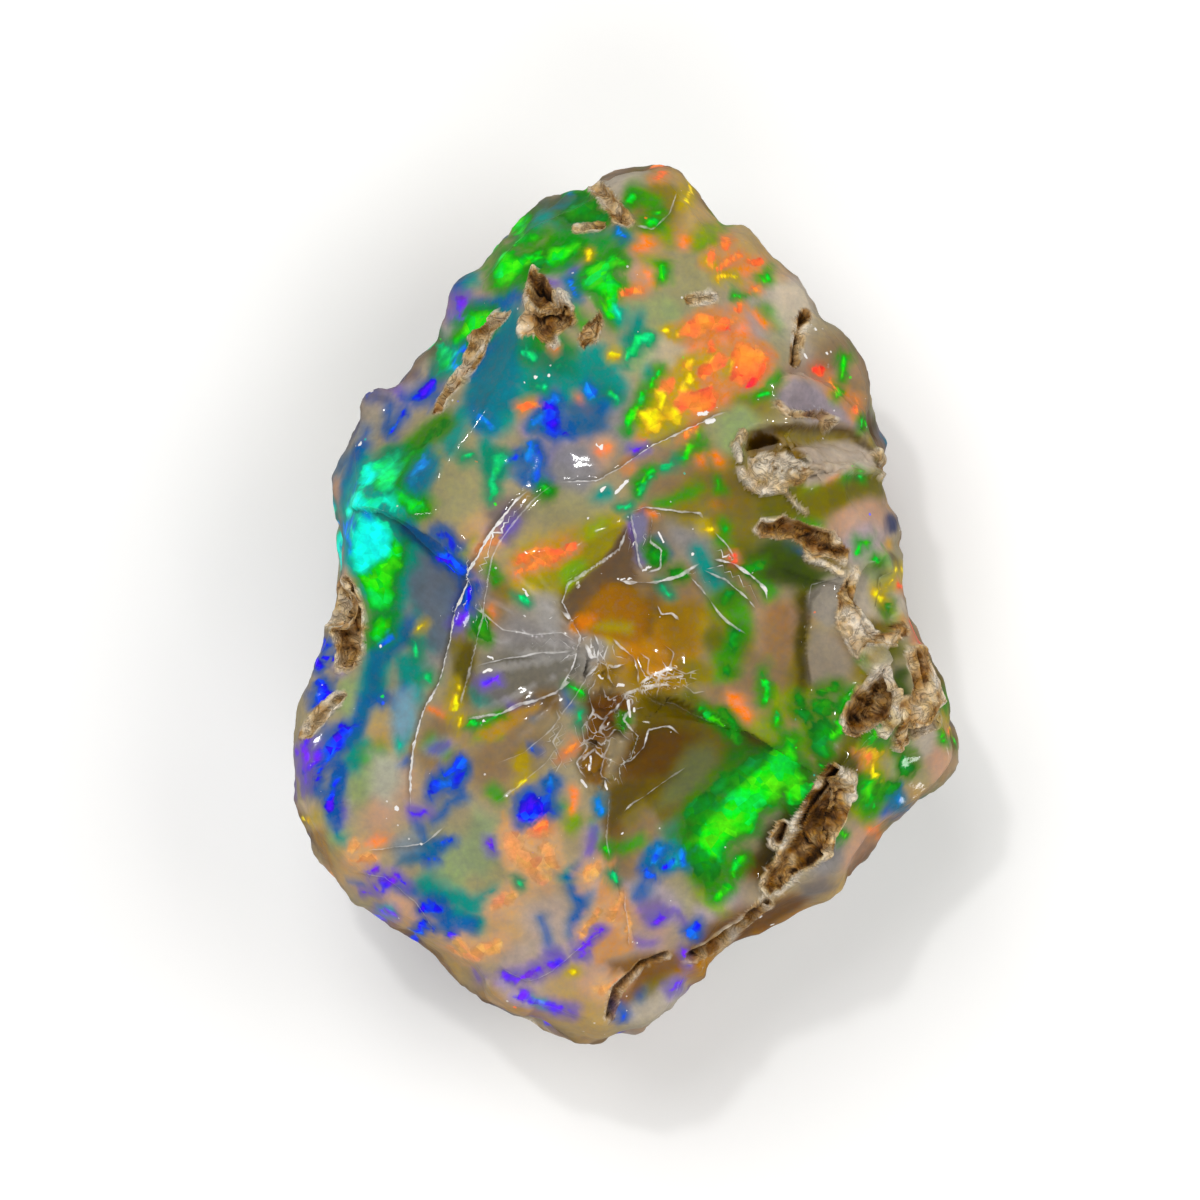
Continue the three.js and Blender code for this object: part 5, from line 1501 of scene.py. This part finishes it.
    # a fracture is a pale uneven hairline with a soft shadow on its lower side
    pathLevel = add("Math", {"operation": "ADD", 0: mark["Red"], 1: look["crackFloor"]})
    crackHalf = add("Math", {"operation": "MULTIPLY", 0: spread["crackHalf"], 1: pathLevel})
    away = add("Math", {"operation": "ABSOLUTE", 0: line["Red"]})
    crackDepth = add("Math", {"operation": "SUBTRACT", 0: crackHalf, 1: away})
    hairline = add("Math", {
        "operation": "MULTIPLY", "use_clamp": True, 0: crackDepth, 1: look["crackSharpness"],
    })
    fade = add("MapRange", {
        "Value": noise["crackFade"], "From Min": look["crackFadeFrom"], "From Max": look["crackFadeTo"],
        "To Min": look["crackFaintest"],
    })
    faded = add("Math", {"operation": "MULTIPLY", 0: hairline, 1: fade})
    crack = add("Math", {"operation": "MULTIPLY", 0: faded, 1: mark["Red"]})
    shadow = add("MapRange", {
        "Value": away, "From Max": look["crackShadow"], "To Min": look["crackDark"], "To Max": 0.0,
    })
    lowerSide = add("Math", {"operation": "LESS_THAN", 0: line["Red"], 1: 0.0})
    sideLevel = add("Math", {"operation": "MULTIPLY", 0: lowerSide, 1: mark["Red"]})
    shadowed = add("Math", {"operation": "MULTIPLY", 0: shadow, 1: sideLevel})
    lit = add("Math", {"operation": "SUBTRACT", 0: 1.0, 1: shadowed})
    shaded = add("VectorMath", {"operation": "SCALE", 0: coloured, "Scale": lit})

    # specks of silica dust and bright glints
    speckReach = add("MapRange", {
        "Value": chance["speck"]["Red"], "From Min": 1 - look["speckShare"], "To Max": look["speckSize"],
    })
    speck = add("Math", {"operation": "LESS_THAN", 0: cell["speck"], 1: speckReach})
    dust = add("Math", {"operation": "MULTIPLY", 0: speck, 1: look["speckPaleness"]})
    glintCover = add("Math", {"operation": "ADD", 0: line["Green"], 1: ragged})
    glint = add("MapRange", {
        "Value": glintCover, "From Min": look["glintFrom"], "From Max": look["glintTo"],
    })
    dusty = add("Math", {"operation": "MAXIMUM", 0: dust, 1: crack})
    pale = add("Math", {"operation": "MAXIMUM", 0: dusty, 1: glint})
    surface = add("Mix", {
        "data_type": "RGBA", "Factor": pale, 6: shaded, 7: (*linearOf(look["paleColour"]), 1),
    })

    # painted glow: the flashes, washes and flecks send out their own colour as light, and what glows takes
    # that much less of the lamps' light
    covered = add("Math", {"operation": "SUBTRACT", 0: 1.0, 1: pale})
    shining = add("Math", {"operation": "MULTIPLY", 0: glow, 1: covered})
    taken = add("Math", {"operation": "MULTIPLY", 0: shining, 1: look["glowTakes"]})
    kept = add("Math", {"operation": "SUBTRACT", 0: 1.0, 1: taken})
    base = add("VectorMath", {"operation": "SCALE", 0: surface, "Scale": kept})
    emission = add("VectorMath", {"operation": "SCALE", 0: shaded, "Scale": shining})

    # gloss: glassy on breaks, dull on the old skin, chalky on rock
    smooth = add("MapRange", {
        "Value": skin, "To Min": look["glossyRoughness"], "To Max": look["skinRoughness"],
    })
    roughness = add("Mix", {"Factor": rock, "A": smooth, "B": look["rockRoughness"]})
    glossGrain = add("Math", {"operation": "MULTIPLY", 0: noise["clouds"], 1: look["glossBump"]})
    curlEdge = add("MapRange", {"Value": crease, "From Max": look["creaseWidth"] * 2})
    crustGrain = add("Math", {
        "operation": "MULTIPLY_ADD", 0: noise["mottle"], 1: look["rockGrain"], 2: curlEdge,
    })
    rockGrain = add("Math", {"operation": "MULTIPLY", 0: crustGrain, 1: look["rockBump"]})
    grain = add("Mix", {"Factor": rock, "A": glossGrain, "B": rockGrain})
    bump = add("Bump", {"Strength": 1.0, "Distance": 1.0, "Height": grain})
    shader = add("BsdfPrincipled", {
        "Base Color": base, "Roughness": roughness, "IOR": look["ior"], "Normal": bump,
        "Subsurface Weight": look["milkiness"], "Subsurface Radius": look["milkRadius"],
        "Subsurface Scale": look["milkDepth"], "Emission Color": emission, "Emission Strength": 1.0,
    })
    add("OutputMaterial", {"Surface": shader})
    return material


stone.data.materials.append(opalMaterial())
print("opal finished")


# a sheet of uncoated white paper, pressed from pulp: its fibres scatter light evenly, so it shows soft
# shadows and no gloss. Its size is in metres
floorSettings = {
    "size": 2, "colour": "#fdfcfa", "roughness": 0.85, "ior": 1.45, "fibre": 0.6 * mm,
    "fibreHeight": 0.02 * mm, "fibreStrength": 0.2,
}


def makeFloor():
    look = floorSettings
    bpy.ops.object.select_all(action="DESELECT")
    bpy.ops.mesh.primitive_grid_add(x_subdivisions=4, y_subdivisions=4, size=look["size"])
    floor = bpy.context.object
    floor.name = "paperFloor"
    material, add = newMaterial("matte white paper")
    place = add("TexCoord", {}).outputs["Object"]
    fibres = add("TexNoise", {"Vector": place, "Scale": 1 / look["fibre"], "Detail": 3.0})
    bump = add("Bump", {
        "Strength": look["fibreStrength"], "Distance": look["fibreHeight"], "Height": fibres,
    })
    shader = add("BsdfPrincipled", {
        "Base Color": (*linearOf(look["colour"]), 1), "Roughness": look["roughness"], "IOR": look["ior"],
        "Normal": bump,
    })
    add("OutputMaterial", {"Surface": shader})
    floor.data.materials.append(material)
    floor.visible_glossy = False  # so that the stone keeps its colour at the sides, as beside a dark card


makeFloor()

# soft studio light, and a small hard one for the glints. Places in metres from the stone
lightSettings = {
    "sky": 0.22, "backdrop": 1.0,
    # the large lamps are kept out of reflections, as by a polariser, and the small ones give the gloss
    "lamps": {
        "softKey": {"at": (-0.21, 0.29, 0.45), "size": 0.44, "power": 1.86, "shines": False},
        "softFill": {"at": (0.42, 0.10, 0.34), "size": 0.42, "power": 1.45, "shines": False},
        "lowFill": {"at": (0.02, -0.42, 0.30), "size": 0.42, "power": 1.1, "shines": False},
        "glintLamp": {"at": (-0.12, 0.20, 0.46), "size": 0.03, "power": 0.36, "shines": True},
        "sideGlint": {"at": (0.42, -0.34, 0.1), "size": 0.05, "power": 0.1, "shines": True},
        "westGlint": {"at": (-0.48, -0.18, 0.1), "size": 0.05, "power": 0.1, "shines": True},
    },
}


def lightStage():
    world = bpy.data.worlds.new("soft studio")
    bpy.context.scene.world = world
    world.use_nodes = True
    tree = world.node_tree
    tree.nodes.clear()
    seen = addNode(tree, "LightPath", {}).outputs["Is Camera Ray"]
    level = addNode(tree, "Mix", {"Factor": seen, "A": lightSettings["sky"], "B": lightSettings["backdrop"]})
    sky = addNode(tree, "Background", {"Color": (1, 1, 1, 1), "Strength": level})
    addNode(tree, "OutputWorld", {"Surface": sky})
    for name, lamp in lightSettings["lamps"].items():
        bpy.ops.object.light_add(type="AREA", location=lamp["at"])
        light = bpy.context.object
        light.name = name
        light.data.size = lamp["size"]
        light.data.energy = lamp["power"]
        light.visible_glossy = lamp["shines"]
        light.rotation_euler = (-light.location).to_track_quat("-Z", "Y").to_euler()


lightStage()

# the photograph looks straight down: 1200 px of it are 40 mm at the stone's widest level
cameraSettings = {"height": 0.35, "viewMm": 40, "viewPx": 1200, "sensor": 36, "levelMm": 5.45}


def placeCamera():
    cs = cameraSettings
    middle = placeOf(cs["viewPx"] / 2, cs["viewPx"] / 2) * mm
    eye = (middle[0], middle[1], cs["levelMm"] * mm + cs["height"])
    bpy.ops.object.camera_add(location=eye, rotation=(0, 0, 0))
    camera = bpy.context.object
    camera.name = "camera"
    camera.data.sensor_width = cs["sensor"]
    camera.data.lens = cs["sensor"] * cs["height"] / (cs["viewMm"] * mm)
    bpy.context.scene.camera = camera


placeCamera()
bpy.context.scene.view_settings.view_transform = "Standard"
print("stage set")
